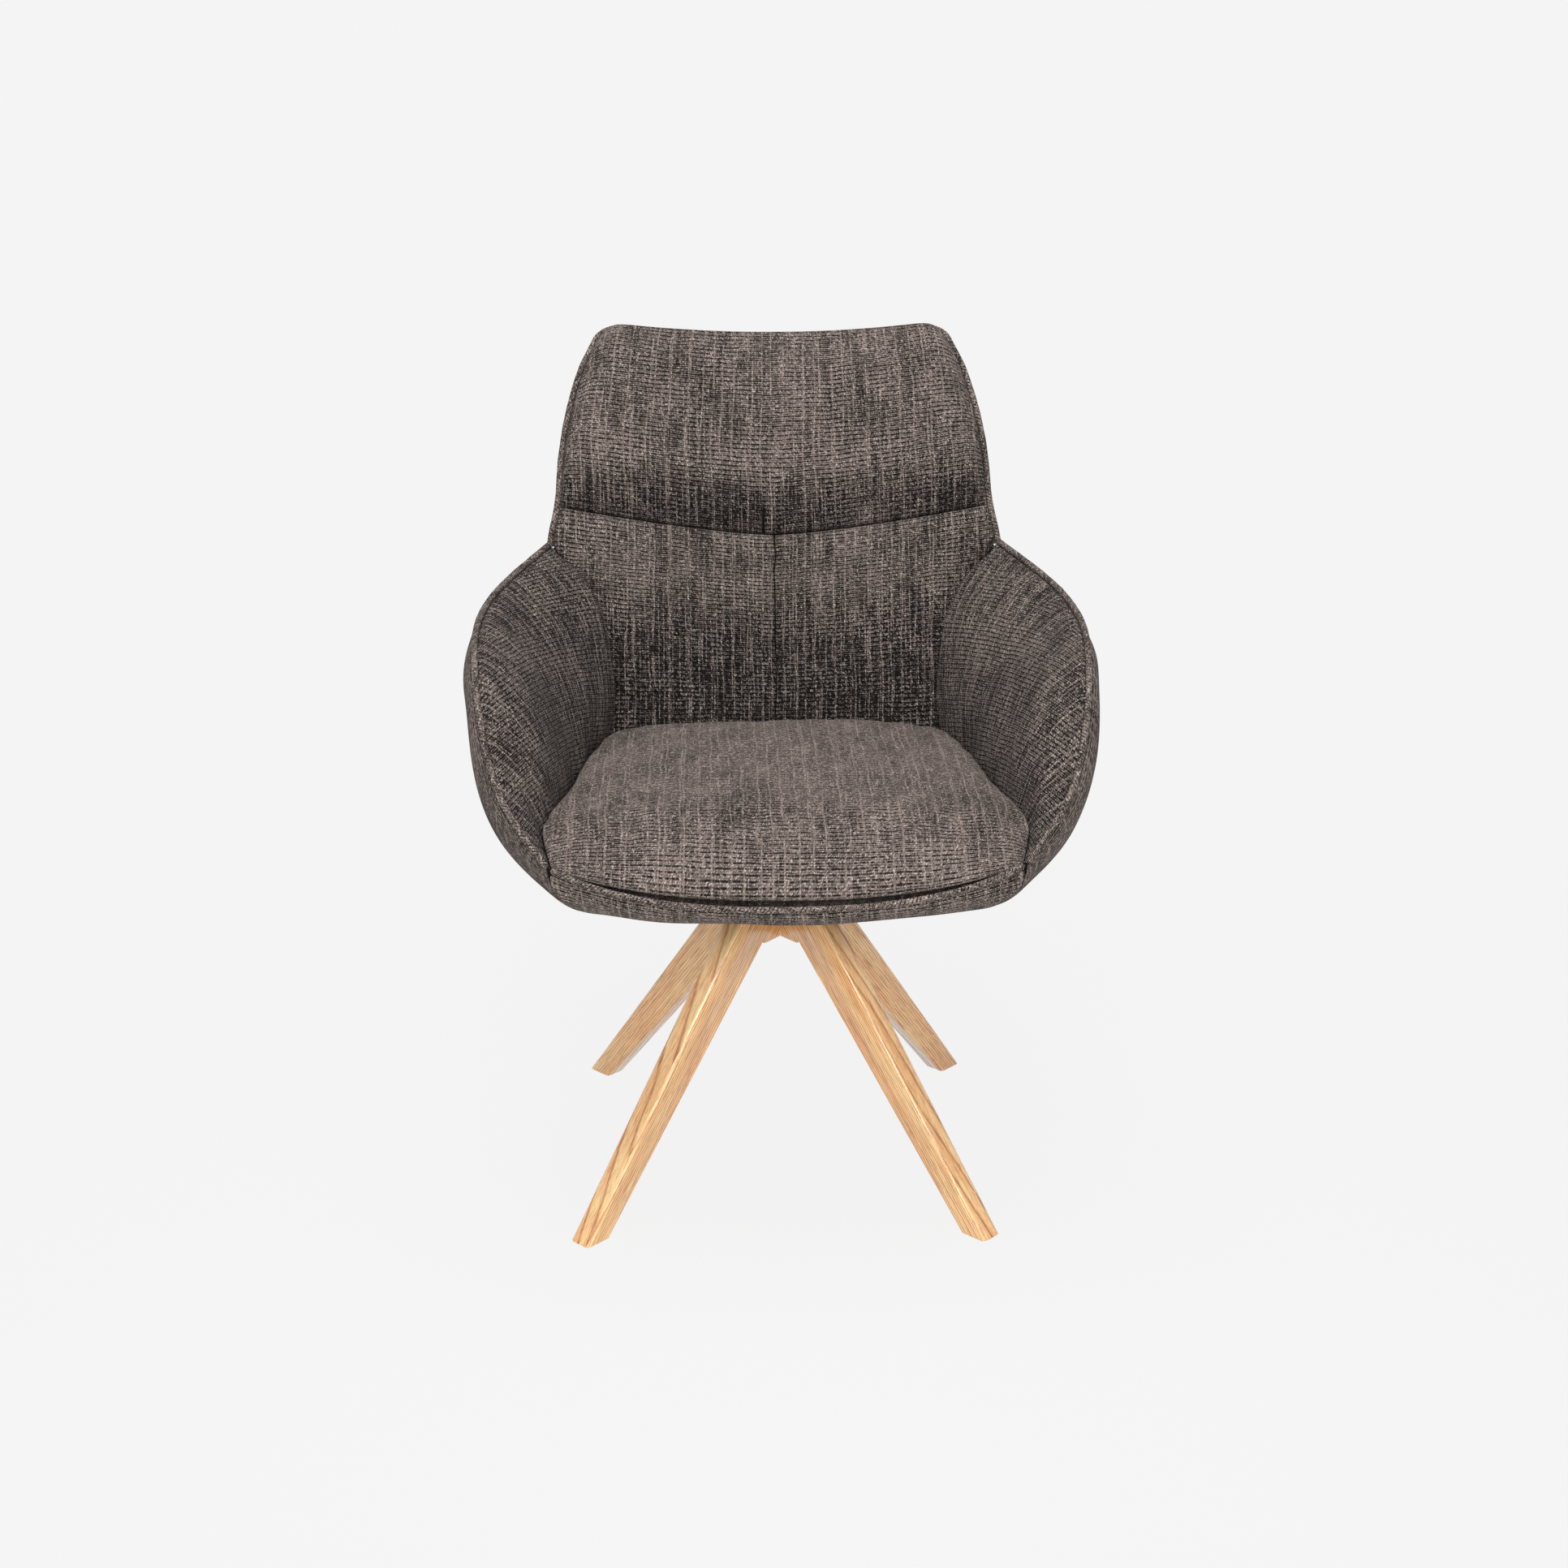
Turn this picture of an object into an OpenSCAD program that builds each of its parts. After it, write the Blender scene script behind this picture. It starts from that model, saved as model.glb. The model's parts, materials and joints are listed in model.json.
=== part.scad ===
// Upholstered swivel armchair on a four-legged oak star base.
// The chair faces -Y, +Z is up, and the origin lies on the floor on the swivel axis.
// The left and right of the names are the viewer's, seen from the front.

/* [Seat and arms] */
// Half width over the piping of the arms
arm_half = 299; // [285:1:315]
// How far the side covers swell out past the piping
arm_swell = 43; // [36:1:52]
// Height of the arm piping halfway along the arm
arm_top = 612; // [590:1:635]
// How far ahead of the swivel axis the front piping lies
front_reach = 301; // [285:1:315]
// Height of the front piping in the middle
front_height = 404; // [400:1:415]
// Half width of the seat at its front corners
corner_half = 222; // [214:1:230]
// How far ahead of the swivel axis the front corners lie
corner_reach = 268; // [258:1:276]
// Height of the piping at the front corners
corner_height = 430; // [424:1:440]
// Highest point of the seat cushion
seat_height = 476; // [466:1:490]
// Height of the seat cushion's sewn edge beside the back
seat_edge_height = 446; // [440:1:452]
// How much higher that edge stands halfway along the arms
seat_side_lift = 8; // [0:1:12]
// Gap between the seat cushion's edge and the pads beside it
seat_gap = 1.2; // [0.8:0.1:2.5]

/* [Back] */
// Height of the point where the arms run into the back
neck_height = 640; // [620:1:655]
// Half width of the chair at that point
neck_half = 243; // [236:1:250]
// Height of the top piping in the middle of the back
back_height = 853; // [830:1:870]
// How much higher the top edge is beside the corners
top_rise = 14; // [0:1:18]
// How far the top corners round down
corner_drop = 14; // [8:1:26]
// How far the sides of the back come forward of its middle
back_dish = 18; // [8:1:24]
// How far the cross seam of the back lies above the neck, in the middle
cross_seam_lift = 10; // [4:1:20]
// How much higher the cross seam is at its ends
cross_seam_rise = 25; // [15:1:32]
// Thickness of the back behind its sewn line
rear_swell = 29.5; // [28:0.5:40]

/* [Upholstery] */
// Swell of the upper back pad above its cross seam
upper_crown = 24; // [14:1:28]
// Swell of the lower back pads
lower_crown = 15; // [8:1:18]
// Swell of the inner arm pads, most in their upper half
arm_crown = 13; // [6:1:16]
// Thickness of the pads behind their sewn line
pad_depth = 10; // [8:0.5:10.5]
// Thickness of the outer covers with their foam
cover_depth = 5; // [3:0.5:6]
// Thickness of a sewn edge
sewn_edge = 2; // [1.5:0.1:2.5]
// Gap between neighbouring pads at a seam
seam_gap = 0.5; // [0.4:0.1:0.9]
// Radius of the piping
piping_r = 3.3; // [2.5:0.1:3.6]
// Thickness of the underside cloth
dust_cloth = 1; // [0.6:0.1:1.5]

/* [Inner frame] */
// Radius of the steel frame tube
tube_r = 6; // [5:0.5:6.5]
// Thickness of the plywood seat board
board_thick = 15; // [12:1:18]
// Half width of the seat board at its front
board_half = 188; // [180:1:190]
// Thickness of the flat steel bars that carry the tubes
bar_thick = 3; // [2:0.5:4]
// Width of those bars
bar_wide = 24; // [20:1:30]
// Thickness of the elastic straps in the back
strap_thick = 1.6; // [1:0.1:2]
// Width of the elastic straps in the back
strap_wide = 40; // [30:1:50]

/* [Legs] */
// Distance of each foot's middle from the swivel axis, along X and along Y
foot_spread = 201; // [190:1:215]
// Thickness of a leg, across
leg_thick = 26; // [22:1:30]
// Length of the foot's flat face, along the leg's own plane
foot_long = 32; // [28:1:38]
// Inward lean of a leg's outer edge, in mm per mm of height
lean_outer = 0.784; // [0.74:0.004:0.8]
// Inward lean of a leg's inner edge, in mm per mm of height
lean_inner = 0.891; // [0.86:0.001:0.91]
// Height of the flat tops of the legs
leg_top = 332; // [326:1:336]
// Radius of the rounded long edges of the legs
leg_round = 5; // [3:0.5:7]
// Height of the floor glides under the feet
glide_high = 1.5; // [1:0.5:4]
// Radius of the floor glides
glide_r = 9; // [7:0.5:10]

/* [Swivel] */
// Side of the square steel plates
plate_side = 130; // [126:1:150]
// Thickness of the base plate on the legs
base_plate_thick = 5; // [4:0.5:6]
// Thickness of the swivel plates
swivel_plate_thick = 3; // [2.5:0.5:4]
// Radius of the ring that the balls run on
ball_ring_r = 38; // [34:1:44]
// Radius of a ball
ball_r = 4; // [3:0.25:5]
// Number of balls
ball_count = 20; // [12:1:22]
// Radius of the centre pin
pin_r = 10; // [8:0.5:12]
// Radius of the swivel's screws and bolts
bolt_r = 3; // [2.5:0.5:3.5]
// Gap at each turning fit
turning_gap = 0.08; // [0.05:0.01:0.1]

/* [Hidden] */

fabric = [0.33, 0.30, 0.28];
oak = [0.80, 0.60, 0.38];
steel = [0.62, 0.63, 0.65];
black_steel = [0.12, 0.12, 0.13];
tiny = 0.01;
far = 1000;
face_gap = 0.3;

// Heights of the layers under the seat, from the turning parts upwards
cover_low = 370;
cross_seam = neck_height + cross_seam_lift;
board_low = cover_low + cover_depth + 0.5;
board_top = board_low + board_thick;
pad_low = board_top + 14.5;
dust_low = cover_low - face_gap - dust_cloth;

foam_top = pad_low + 10;
foam_low = board_top + bar_thick + face_gap;
board_front = 67 - front_reach;
bar_half = bar_wide / 2;
arm_bar_y = -115;
back_tube_x = 118;
tube_back = pad_depth + strap_thick + 3 * face_gap + tube_r + 0.4;
top_bar_z = back_height - 44;
tube_bend = 38;
arm_tube_z = neck_height - 62;
strap_heights = [470, 545, 620, 705];
foot_r = foot_spread * sqrt(2);
knee_r = 1.5 * leg_thick;
knee_z = (foot_r - foot_long / 2 - knee_r) / lean_inner;
screw_rs = [18, 32];
dowel_low = 286;
dowel_high = 306;
mitre_gap = 0.2;
dowel_r = 3;
dowel_long = 17;
dowel_out = 10;
fit_gap = 0.05;
glide_pin_r = 2.5;
glide_pin_long = 14;
screw_r = 2;
leg_screw_long = 24;
bar_screw_long = 12;
base_top = leg_top + base_plate_thick;
lower_top = base_top + swivel_plate_thick;
race_thick = 7;
race_half = ball_r + 2.5;
ball_lift = 0.4 * ball_r;
ball_z = lower_top + race_thick + ball_lift;
upper_race_low = ball_z + ball_lift;
boss_low = upper_race_low + race_thick;
upper_low = board_low - swivel_plate_thick;
swivel_bolt_ring = ball_ring_r + race_half + 7;
seat_bolt_x = plate_side / 2 - 12;
pin_flange_r = pin_r + 7;
washer_r = pin_r + 7;
washer_thick = 1.5;
pin_top = board_low + 7;
ring_thick = 1.2;
tee_r = bolt_r + 1.5;
tee_flange = 1.5;
seat_middle = [0, -85, seat_height];
edge_levels = [0, 0.12, 0.4, 1];
cushion_low = foam_top + face_gap;
crown_power = 2.4;
front_room = 1.6;
crown_fullness = 0.48;
piping_out = piping_r + 2 * face_gap;
side_share = 0.46;
corner_start = 0.89;
neck_share = 0.55;
front_turn = 64;
cover_trim = 0.0075;
side_top = back_height + 14;

// Distances from the sewn edges over which the pads round up to their full swell
side_roll = 22;
foot_roll = 26;
upper_side_roll = 34;
upper_top_roll = 30;
upper_low_roll = 58;
centre_seam_roll = 10;
cross_seam_roll = 20;
arm_rear_roll = 22;
arm_rim_roll = 36;
arm_foot_rise = 110;
arm_front_rise = 150;
// Share of the lower pads' swell at their centre seam and at the cross seam
centre_seam_share = 0.7;
cross_seam_share = 0.3;
// How far the upper pad stands out at the cross seam
upper_seam_swell = 4;
// Distances over which the pads' backs turn in to the sewn edges
back_turn_in = 34;
arm_turn_in = 44;
// Lengths that the pads' rolls are measured on
lower_pad_wide = 200;
upper_pad_wide = 440;
arm_long = 420;
// Where the arm pads end, and the stretches of arm and back that the cushion meets
arm_start = 0.004;
arm_end = 0.93;
cushion_start = 0.05;
cushion_back_end = 0.92;

// The back: half widths at equal steps of height, below and above the neck
crease_halves = [184, 184, 186, 191, 205, neck_half];
side_halves = [for (step = [0, 9, 13, 21, 35, 56]) neck_half - step];
// Depth of the back's sewn surface, at equal steps of height from the seat to the top
back_depths = [133, 163, 199, 239, 288];
// The line where the inner arm pad meets the seat, from the back crease forward
arm_foot = [
    [crease_halves[0], back_depths[0] - back_dish, pad_low],
    [crease_halves[0] + 15, 20, pad_low],
    [corner_half - 12, -80, pad_low],
    [corner_half - 6, -165, pad_low],
    [corner_half - 11, 26 - corner_reach, pad_low]
];
board_rear = back_depths[0] + 12.5;
arm_tube_foot = [arm_foot[2][0] + pad_depth + tube_r + 3, arm_bar_y, board_top + bar_thick + face_gap];
back_bar_y = back_depths[0] - back_dish * pow(back_tube_x / crease_halves[0], 2) + tube_back;

// Smooth curve through a list of stations, t from 0 to 1
function spline(p, t) =
    let (
        n = len(p) - 1,
        i = max(0, min(floor(t * n), n - 1)),
        k = t * n - i,
        a = p[max(i - 1, 0)],
        b = p[i],
        c = p[i + 1],
        d = p[min(i + 2, n)]
    )
    0.5 * (2 * b + (c - a) * k + (2 * a - 5 * b + 4 * c - d) * k * k + (3 * b - a - 3 * c + d) * k * k * k);

function bezier(a, b, c, d, t) =
    pow(1 - t, 3) * a + 3 * pow(1 - t, 2) * t * b + 3 * (1 - t) * t * t * c + t * t * t * d;

function mix(a, b, t) = a + (b - a) * t;

function unit(v) = v / norm(v);

// Quarter-round rise from 0 at a sewn edge to 1 at the distance r from it
function roll(x, r) = x >= r ? 1 : x <= 0 ? 0 : sqrt(1 - pow(1 - x / r, 2));

// Slow rise from 0 at a sewn edge to 1 at the distance r from it
function ease(x, r) = x >= r ? 1 : 0.5 - 0.5 * cos(180 * x / r);

function mirrored(p) = [-p[0], p[1], p[2]];

function back_half(z) = z < neck_height
    ? spline(crease_halves, (z - pad_low) / (neck_height - pad_low))
    : spline(side_halves, (z - neck_height) / (side_top - neck_height));

function back_depth(z) = spline(back_depths, (z - pad_low) / (back_height - pad_low));

function back_point(a, z) = [a * back_half(z), back_depth(z) - back_dish * a * a, z];

// The front side's normal leans back, and turns up where the pad rolls over the top
function back_lean(z) = 17 + 7 * max(0, min(1, (z - cross_seam) / 120));
function back_normal(z, from_top) =
    let (lean = back_lean(z) + 42 * pow(max(0, 1 - from_top / 45), 1.5))
    [0, -cos(lean), sin(lean)];

function top_edge(a) =
    let (e = max(0, (abs(a) - corner_start) / (1 - corner_start)))
    back_height + top_rise * a * a - corner_drop * (1 - sqrt(max(0, 1 - e * e)));

function cross_edge(a) = cross_seam + cross_seam_rise * a * a;

// The piping line of the right arm, from the neck forward and down to the front corner
neck = [neck_half, back_depth(neck_height) - back_dish, neck_height];
arm_rim = [
    neck,
    [arm_half - 2, 40, arm_top],
    [arm_half, -105, arm_top - 27],
    [arm_half - 26, -215, mix(corner_height, arm_top, 0.37)],
    [corner_half, -corner_reach, corner_height]
];

function arm_point(j, q) =
    let (
        t = spline(arm_rim, j),
        b = spline(arm_foot, j),
        l = back_point(1, mix(pad_low, neck_height, q)),
        r = mix(arm_foot[4], arm_rim[4], q),
        corners = (1 - j) * mix(arm_foot[0], neck, q) + j * r
    )
    mix(b, t, q) + (1 - j) * l + j * r - corners;

function arm_normal(j, q) =
    let (
        e = 0.02,
        along = arm_point(min(j + e, 1), q) - arm_point(max(j - e, 0), q),
        up = arm_point(j, min(q + e, 1)) - arm_point(j, max(q - e, 0))
    )
    unit(cross(along, up));

// The front piping line from the left corner, a = -1, to the right corner, a = 1
function front_rim(a) = [
    a * corner_half,
    -mix(front_reach, corner_reach, a * a),
    mix(front_height, corner_height, pow(abs(a), 3))
];

// Outward directions in plan, and the line where the covers turn in under the seat
function arm_outward(j) =
    let (d = spline(arm_rim, min(j + 0.03, 1)) - spline(arm_rim, max(j - 0.03, 0)))
    unit([-d[1], d[0], 0]);
bottom_edge = [
    [146, 134, cover_low],
    [188, 40, cover_low],
    [194, -60, cover_low],
    [192, -150, cover_low],
    [172, 48 - corner_reach, cover_low]
];
function end_outward(a, end, straight) =
    let (side = arm_outward(end))
    unit(mix(straight, [sign(a) * side[0], side[1], 0], a * a));
function front_outward(a) = end_outward(a, 1, [0, -1, 0]);
function rear_outward(a) = end_outward(a, 0, [0, 1, 0]);
function front_bottom(a) =
    let (corner = bottom_edge[4])
    [a * corner[0], mix(front_turn - front_reach, corner[1], a * a), cover_low];
function rear_bottom(a) =
    let (corner = bottom_edge[0])
    [a * corner[0], mix(corner[1] + 18, corner[1], a * a), cover_low];

// Section of an outer cover from its turned-in edge, q = 0, out and up to the piping, q = 1
function cover_section(bottom, top, outward, low_reach, top_reach, drop, q) =
    bezier(bottom, bottom + low_reach * outward, top + top_reach * outward - [0, 0, drop], top, q);

low_reaches = [58, 77, 81, 66, 40];
top_reaches = [arm_swell - 6, arm_swell + 3, arm_swell + 3, arm_swell - 12, arm_swell - 30];
drops = [60, 38, 30, 34, 20];

function cover_edge(p, n) = p - (sewn_edge + 4 * face_gap) * n;

function side_cover_point(j, q) = cover_section(
    spline(bottom_edge, j),
    cover_edge(spline(arm_rim, j), arm_normal(j, 1)),
    arm_outward(j),
    spline(low_reaches, j),
    spline(top_reaches, j),
    spline(drops, j),
    q
);

function front_cover_point(a, q) = cover_section(
    front_bottom(a),
    cover_edge(front_rim(a), mix([0, 0, 1], mirror_if(arm_normal(1, 1), a), a * a)),
    front_outward(a),
    mix(44, low_reaches[4], a * a),
    mix(4, top_reaches[4], a * a),
    mix(12, drops[4], a * a),
    q
);
function mirror_if(p, a) = a < 0 ? mirrored(p) : p;

// The rear cover follows the back above the neck, and a cover section below it
function rear_high_point(a, z) =
    let (
        from_top = top_edge(a) - z,
        from_side = (1 - abs(a)) * back_half(z),
        swell = rear_swell * roll(from_side, 60) * roll(from_top, 34)
    )
    back_point(a, z) - back_normal(z, from_top) * edge_step(from_top) - back_normal(z, far) * swell;
// Near the top the cover keeps clear of the pad's turned edge
function edge_step(from_top) = sewn_edge + 2 * face_gap + 3.6 * max(0, 1 - from_top / 45);
function rear_cover_point(a, h) = h >= neck_share
    ? rear_high_point(a, mix(neck_height, top_edge(a), (h - neck_share) / (1 - neck_share)))
    : cover_section(
        rear_bottom(a),
        mix(rear_high_point(a, neck_height), mirror_if(side_cover_point(0, 1), a), pow(abs(a), 6)),
        rear_outward(a),
        mix(62, low_reaches[0], a * a),
        mix(-26, top_reaches[0], pow(abs(a), 3)),
        mix(90, drops[0], a * a),
        h / neck_share
    );

// Closed solid between two grids of points with the same rows and columns
module slab(outside, inside) {
    rows = len(outside);
    cols = len(outside[0]);
    count = rows * cols;
    points = concat([for (r = outside) for (p = r) p], [for (r = inside) for (p = r) p]);
    skin = [
        for (i = [0 : rows - 2]) for (j = [0 : cols - 2])
            let (a = i * cols + j, b = a + 1, c = a + cols, d = c + 1)
            each [
                [a, d, b], [a, c, d],
                [count + a, count + b, count + d], [count + a, count + d, count + c]
            ]
    ];
    ring = concat(
        [for (j = [0 : cols - 1]) j],
        [for (i = [1 : rows - 1]) i * cols + cols - 1],
        [for (j = [cols - 2 : -1 : 0]) (rows - 1) * cols + j],
        [for (i = [rows - 2 : -1 : 1]) i * cols]
    );
    wall = [
        for (k = [0 : len(ring) - 1])
            let (a = ring[k], b = ring[(k + 1) % len(ring)])
            each [[a, count + b, count + a], [a, b, count + b]]
    ];
    polyhedron(points = points, faces = concat(skin, wall), convexity = 8);
}

// Round tube along a list of points
function tube_frame(path, i) =
    let (
        d = unit(path[min(i + 1, len(path) - 1)] - path[max(i - 1, 0)]),
        side = unit(cross(d, abs(d[2]) > 0.95 ? [0, 1, 0] : [0, 0, 1]))
    )
    [side, cross(side, d)];
module tube(path, r, sides) {
    frames = carried_frames(path);
    points = [
        for (i = [0 : len(path) - 1]) for (k = [0 : sides - 1])
            path[i] + r * (cos(360 * k / sides) * frames[i][0] + sin(360 * k / sides) * frames[i][1])
    ];
    last = (len(path) - 1) * sides;
    skin = [
        for (i = [0 : len(path) - 2]) for (k = [0 : sides - 1])
            let (a = i * sides + k, b = i * sides + (k + 1) % sides)
            each [[a, b, b + sides], [a, b + sides, a + sides]]
    ];
    ends = [
        for (k = [1 : sides - 2])
            each [[0, k + 1, k], [last, last + k, last + k + 1]]
    ];
    polyhedron(points = points, faces = concat(skin, ends), convexity = 8);
}
// Frames carried along the path without twist
function carried_frames(path) = carry(path, 1, [tube_frame(path, 0)]);
function carry(path, i, done) = i >= len(path) ? done :
    let (
        d = unit(path[min(i + 1, len(path) - 1)] - path[i - 1]),
        s = done[i - 1][0],
        side = unit(s - (s * d) * d)
    )
    carry(path, i + 1, concat(done, [[side, cross(side, d)]]));

function steps(n) = [for (i = [0 : n]) i / n];
// Steps that stand closer together near both ends
function eased(n) = [for (i = [0 : n]) 0.5 - 0.5 * cos(180 * i / n)];

// Back pads: a grid from the left edge to the right edge and from the low edge up
module back_pad(left, right, cols, rows, low_edge, high_edge, face) {
    function place(u, v) =
        let (a = mix(left, right, u), z = mix(low_edge(a), high_edge(a), v))
        concat([back_point(a, z)], face(a, z));
    pad([for (v = eased(rows)) [for (u = eased(cols)) place(u, v)]]);
}
// Closed pad from a grid of sewn points, each with its normal, its swell and its depth
module pad(grid) {
    slab(
        [for (r = grid) [for (g = r) g[0] + g[1] * g[2]]],
        [for (r = grid) [for (g = r) g[0] - g[1] * g[3]]]
    );
}
function lower_sides(a) = roll((1 - abs(a)) * lower_pad_wide, side_roll)
    * mix(centre_seam_share, 1, roll(abs(a) * lower_pad_wide, centre_seam_roll));
function lower_ends(a, z) = roll(z - pad_low, foot_roll)
    * mix(cross_seam_share, 1, roll(cross_edge(a) - z, cross_seam_roll));
function lower_face(a, z) = [
    back_normal(z, far),
    lower_crown * lower_sides(a) * lower_ends(a, z),
    mix(sewn_edge, pad_depth, rim_share(a, z))
];
function upper_face(a, z) =
    let (
        from_side = (1 - abs(a)) * upper_pad_wide / 2,
        from_top = top_edge(a) - z,
        sides = roll(from_side, upper_side_roll),
        low_end = roll(z - cross_edge(a), upper_low_roll),
        rim = ease(from_side, back_turn_in) * ease(from_top, back_turn_in)
    )
    [
        back_normal(z, from_top),
        sides * roll(from_top, upper_top_roll) * mix(upper_seam_swell, upper_crown, low_end),
        mix(sewn_edge, pad_depth, rim)
    ];
// Above the neck the lower pads end at the piping, where they thin down to the sewn edge
function rim_share(a, z) = z < neck_height - 30 ? 1
    : max(ease((1 - abs(a)) * back_half(z), back_turn_in), 1 - (z - neck_height + 30) / 30);

module arm_pad() {
    rows = 9;
    cols = 18;
    function place(j, q) =
        let (
            tall = arm_tall(j),
            rim = roll((1 - q) * tall, min(arm_rim_roll, tall / 2)),
            depth = mix(sewn_edge, pad_depth, ease((1 - q) * tall, min(arm_turn_in, tall / 2)))
        )
        [arm_point(j, q), arm_normal(j, q), arm_swell_at(j, q) * rim, depth];
    pad([for (q = eased(rows)) [for (u = steps(cols)) place(mix(arm_start, arm_end, u), q)]]);
}
function arm_tall(j) = norm(arm_point(j, 1) - arm_point(j, 0));
// Swell of the arm pad, which rises slowly from the seat and from the front
function arm_swell_at(j, q) =
    let (
        tall = arm_tall(j),
        rear = roll((j - arm_start) * arm_long, arm_rear_roll),
        front = ease((arm_end - j) * arm_long, arm_front_rise)
    )
    arm_crown * rear * front * ease(q * tall, min(arm_foot_rise, 0.8 * tall));

module left_side() {
    mirror([1, 0, 0]) children();
}

module lower_back_pad(left, right) {
    back_pad(
        left, right, 9, 10,
        function (a) pad_low,
        function (a) cross_edge(a) - seam_gap / 2,
        function (a, z) lower_face(a, z)
    );
}
module lower_left_back_pad() {
    color(fabric) lower_back_pad(-1 + tiny, -seam_gap / 2 / lower_pad_wide);
}
module lower_right_back_pad() {
    color(fabric) lower_back_pad(seam_gap / 2 / lower_pad_wide, 1 - tiny);
}
module upper_back_pad() {
    color(fabric) back_pad(
        -1, 1, 18, 10,
        function (a) cross_edge(a) + seam_gap / 2,
        function (a) top_edge(a),
        function (a, z) upper_face(a, z)
    );
}
module right_arm_pad() {
    color(fabric) arm_pad();
}
module left_arm_pad() {
    color(fabric) left_side() arm_pad();
}

// Outer covers: an outer surface and an inner one that lies cover_depth inside it
module cover(outer, thick) {
    rows = len(outer);
    cols = len(outer[0]);
    function normal(i, j) =
        unit(cross(
            outer[i][min(j + 1, cols - 1)] - outer[i][max(j - 1, 0)],
            outer[min(i + 1, rows - 1)][j] - outer[max(i - 1, 0)][j]
        ));
    inner = [for (i = [0 : rows - 1]) [for (j = [0 : cols - 1]) outer[i][j] - normal(i, j) * thick[i]]];
    slab(outer, inner);
}

module side_cover() {
    rows = 8;
    cols = 18;
    function place(u, q) = side_cover_point(mix(1 - cover_trim, cover_trim, u), q);
    grid = [for (q = steps(rows)) [for (u = steps(cols)) place(u, q)]];
    cover(grid, [for (q = steps(rows)) mix(sewn_edge, cover_depth, roll(1 - q, 0.2))]);
}
module right_side_cover() {
    color(fabric) side_cover();
}
module left_side_cover() {
    color(fabric) left_side() side_cover();
}
module rear_cover() {
    rows = 16;
    cols = 20;
    side = 1 - cover_trim;
    grid = [for (h = steps(rows)) [for (a = eased(cols)) rear_cover_point(mix(side, -side, a), h)]];
    color(fabric) cover(grid, [for (h = steps(rows)) mix(sewn_edge, cover_depth, roll(1 - h, 0.1))]);
}
module front_apron() {
    rows = 6;
    cols = 14;
    side = 1 - cover_trim;
    grid = [for (q = steps(rows)) [for (a = steps(cols)) front_cover_point(mix(-side, side, a), q)]];
    color(fabric) cover(grid, [for (q = steps(rows)) mix(sewn_edge, cover_depth, roll(1 - q, 0.3))]);
}

// Piping, set just outside the sewn edges of the pad and the cover
function arm_piping_point(j) =
    let (n = arm_normal(j, 1), m = unit(arm_point(j, 1) - arm_point(j, 0.9)))
    arm_point(j, 1) - n * (sewn_edge + face_gap) + unit(m - (m * n) * n) * piping_out;
module arm_piping() {
    tube([for (t = steps(26)) arm_piping_point(mix(0.025, 0.975, t))], piping_r, 6);
}
module right_arm_piping() {
    color(fabric) arm_piping();
}
module left_arm_piping() {
    color(fabric) left_side() arm_piping();
}
function front_piping_point(a) =
    front_rim(a) - [0, 0, sewn_edge * (1 - a * a)] + front_outward(a) * piping_out;
module front_piping() {
    color(fabric) tube([for (t = steps(18)) front_piping_point(mix(-0.97, 0.97, t))], piping_r, 6);
}
// Edge of the back from the neck up the side and in along the top, t from 0 to 1
function back_piping_point(t) = t < side_share
    ? let (
        z = mix(neck_height + 8, top_edge(1), t / side_share),
        p = back_point(1, z),
        n = back_normal(z, top_edge(1) - z)
    )
        p - n * (sewn_edge + face_gap) + [piping_out, 0, 0]
    : let (
        a = mix(1, 0, (t - side_share) / (1 - side_share)),
        e = max(0, (a - corner_start) / (1 - corner_start)),
        z = top_edge(a),
        p = back_point(a, z),
        n = back_normal(z, 0),
        rise = sqrt(max(0, 1 - e * e)) / corner_drop,
        away = unit([e / (1 - corner_start) / back_half(z), n[2] * rise, -n[1] * rise])
    )
        p - n * (sewn_edge + face_gap) + away * piping_out;
module back_piping() {
    half = [for (t = steps(26)) back_piping_point(t)];
    path = concat([for (i = [0 : 25]) mirrored(half[i])], [for (i = [26 : -1 : 0]) half[i]]);
    color(fabric) tube(path, piping_r, 6);
}

// Seat cushion: rings that run from its sewn edge in to the crown
// Height of the cushion's side, level 0 at its foot and 1 at its sewn edge, lower at the front corners
function edge_z(j, level) =
    let (
        front = ease(max(0, j - 0.74), 0.19),
        side = seat_side_lift * sin(180 * max(0, min(1, j / arm_end)))
    )
    mix(pad_low + 2, mix(seat_edge_height, corner_height + 2, front) + side, level);
function arm_face(j, level) =
    let (
        q = max(0.02, min(0.82, (edge_z(j, level) - pad_low) / (spline(arm_rim, j)[2] - pad_low))),
        room = seat_gap + front_room * ease(max(0, j - 0.68), 0.2)
    )
    arm_point(j, q) + arm_normal(j, q) * (arm_swell_at(j, q) + room);
function back_face(a, level) =
    let (
        z = edge_z(0, level),
        side = roll((1 - abs(a)) * lower_pad_wide, side_roll)
    )
    back_point(a, z) + back_normal(z, far) * (lower_crown * side * roll(z - pad_low, foot_roll) + seat_gap);
// Along the front the cushion comes down to the piping
function front_edge_point(a, level) =
    let (p = front_rim(a))
    [p[0] * 0.985, p[1] + 1.5, p[2] + mix(0.5 - sewn_edge, 3, level)];
function cushion_edge(level) = concat(
    [for (i = [0 : 13]) front_edge_point(mix(-arm_end, arm_end, i / 13), level)],
    [for (i = [0 : 13]) arm_face(mix(arm_end, cushion_start, i / 13), level)],
    [for (i = [0 : 11]) back_face(mix(cushion_back_end, -cushion_back_end, i / 11), level)],
    [for (i = [0 : 13]) mirrored(arm_face(mix(cushion_start, arm_end, i / 13), level))]
);

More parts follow.
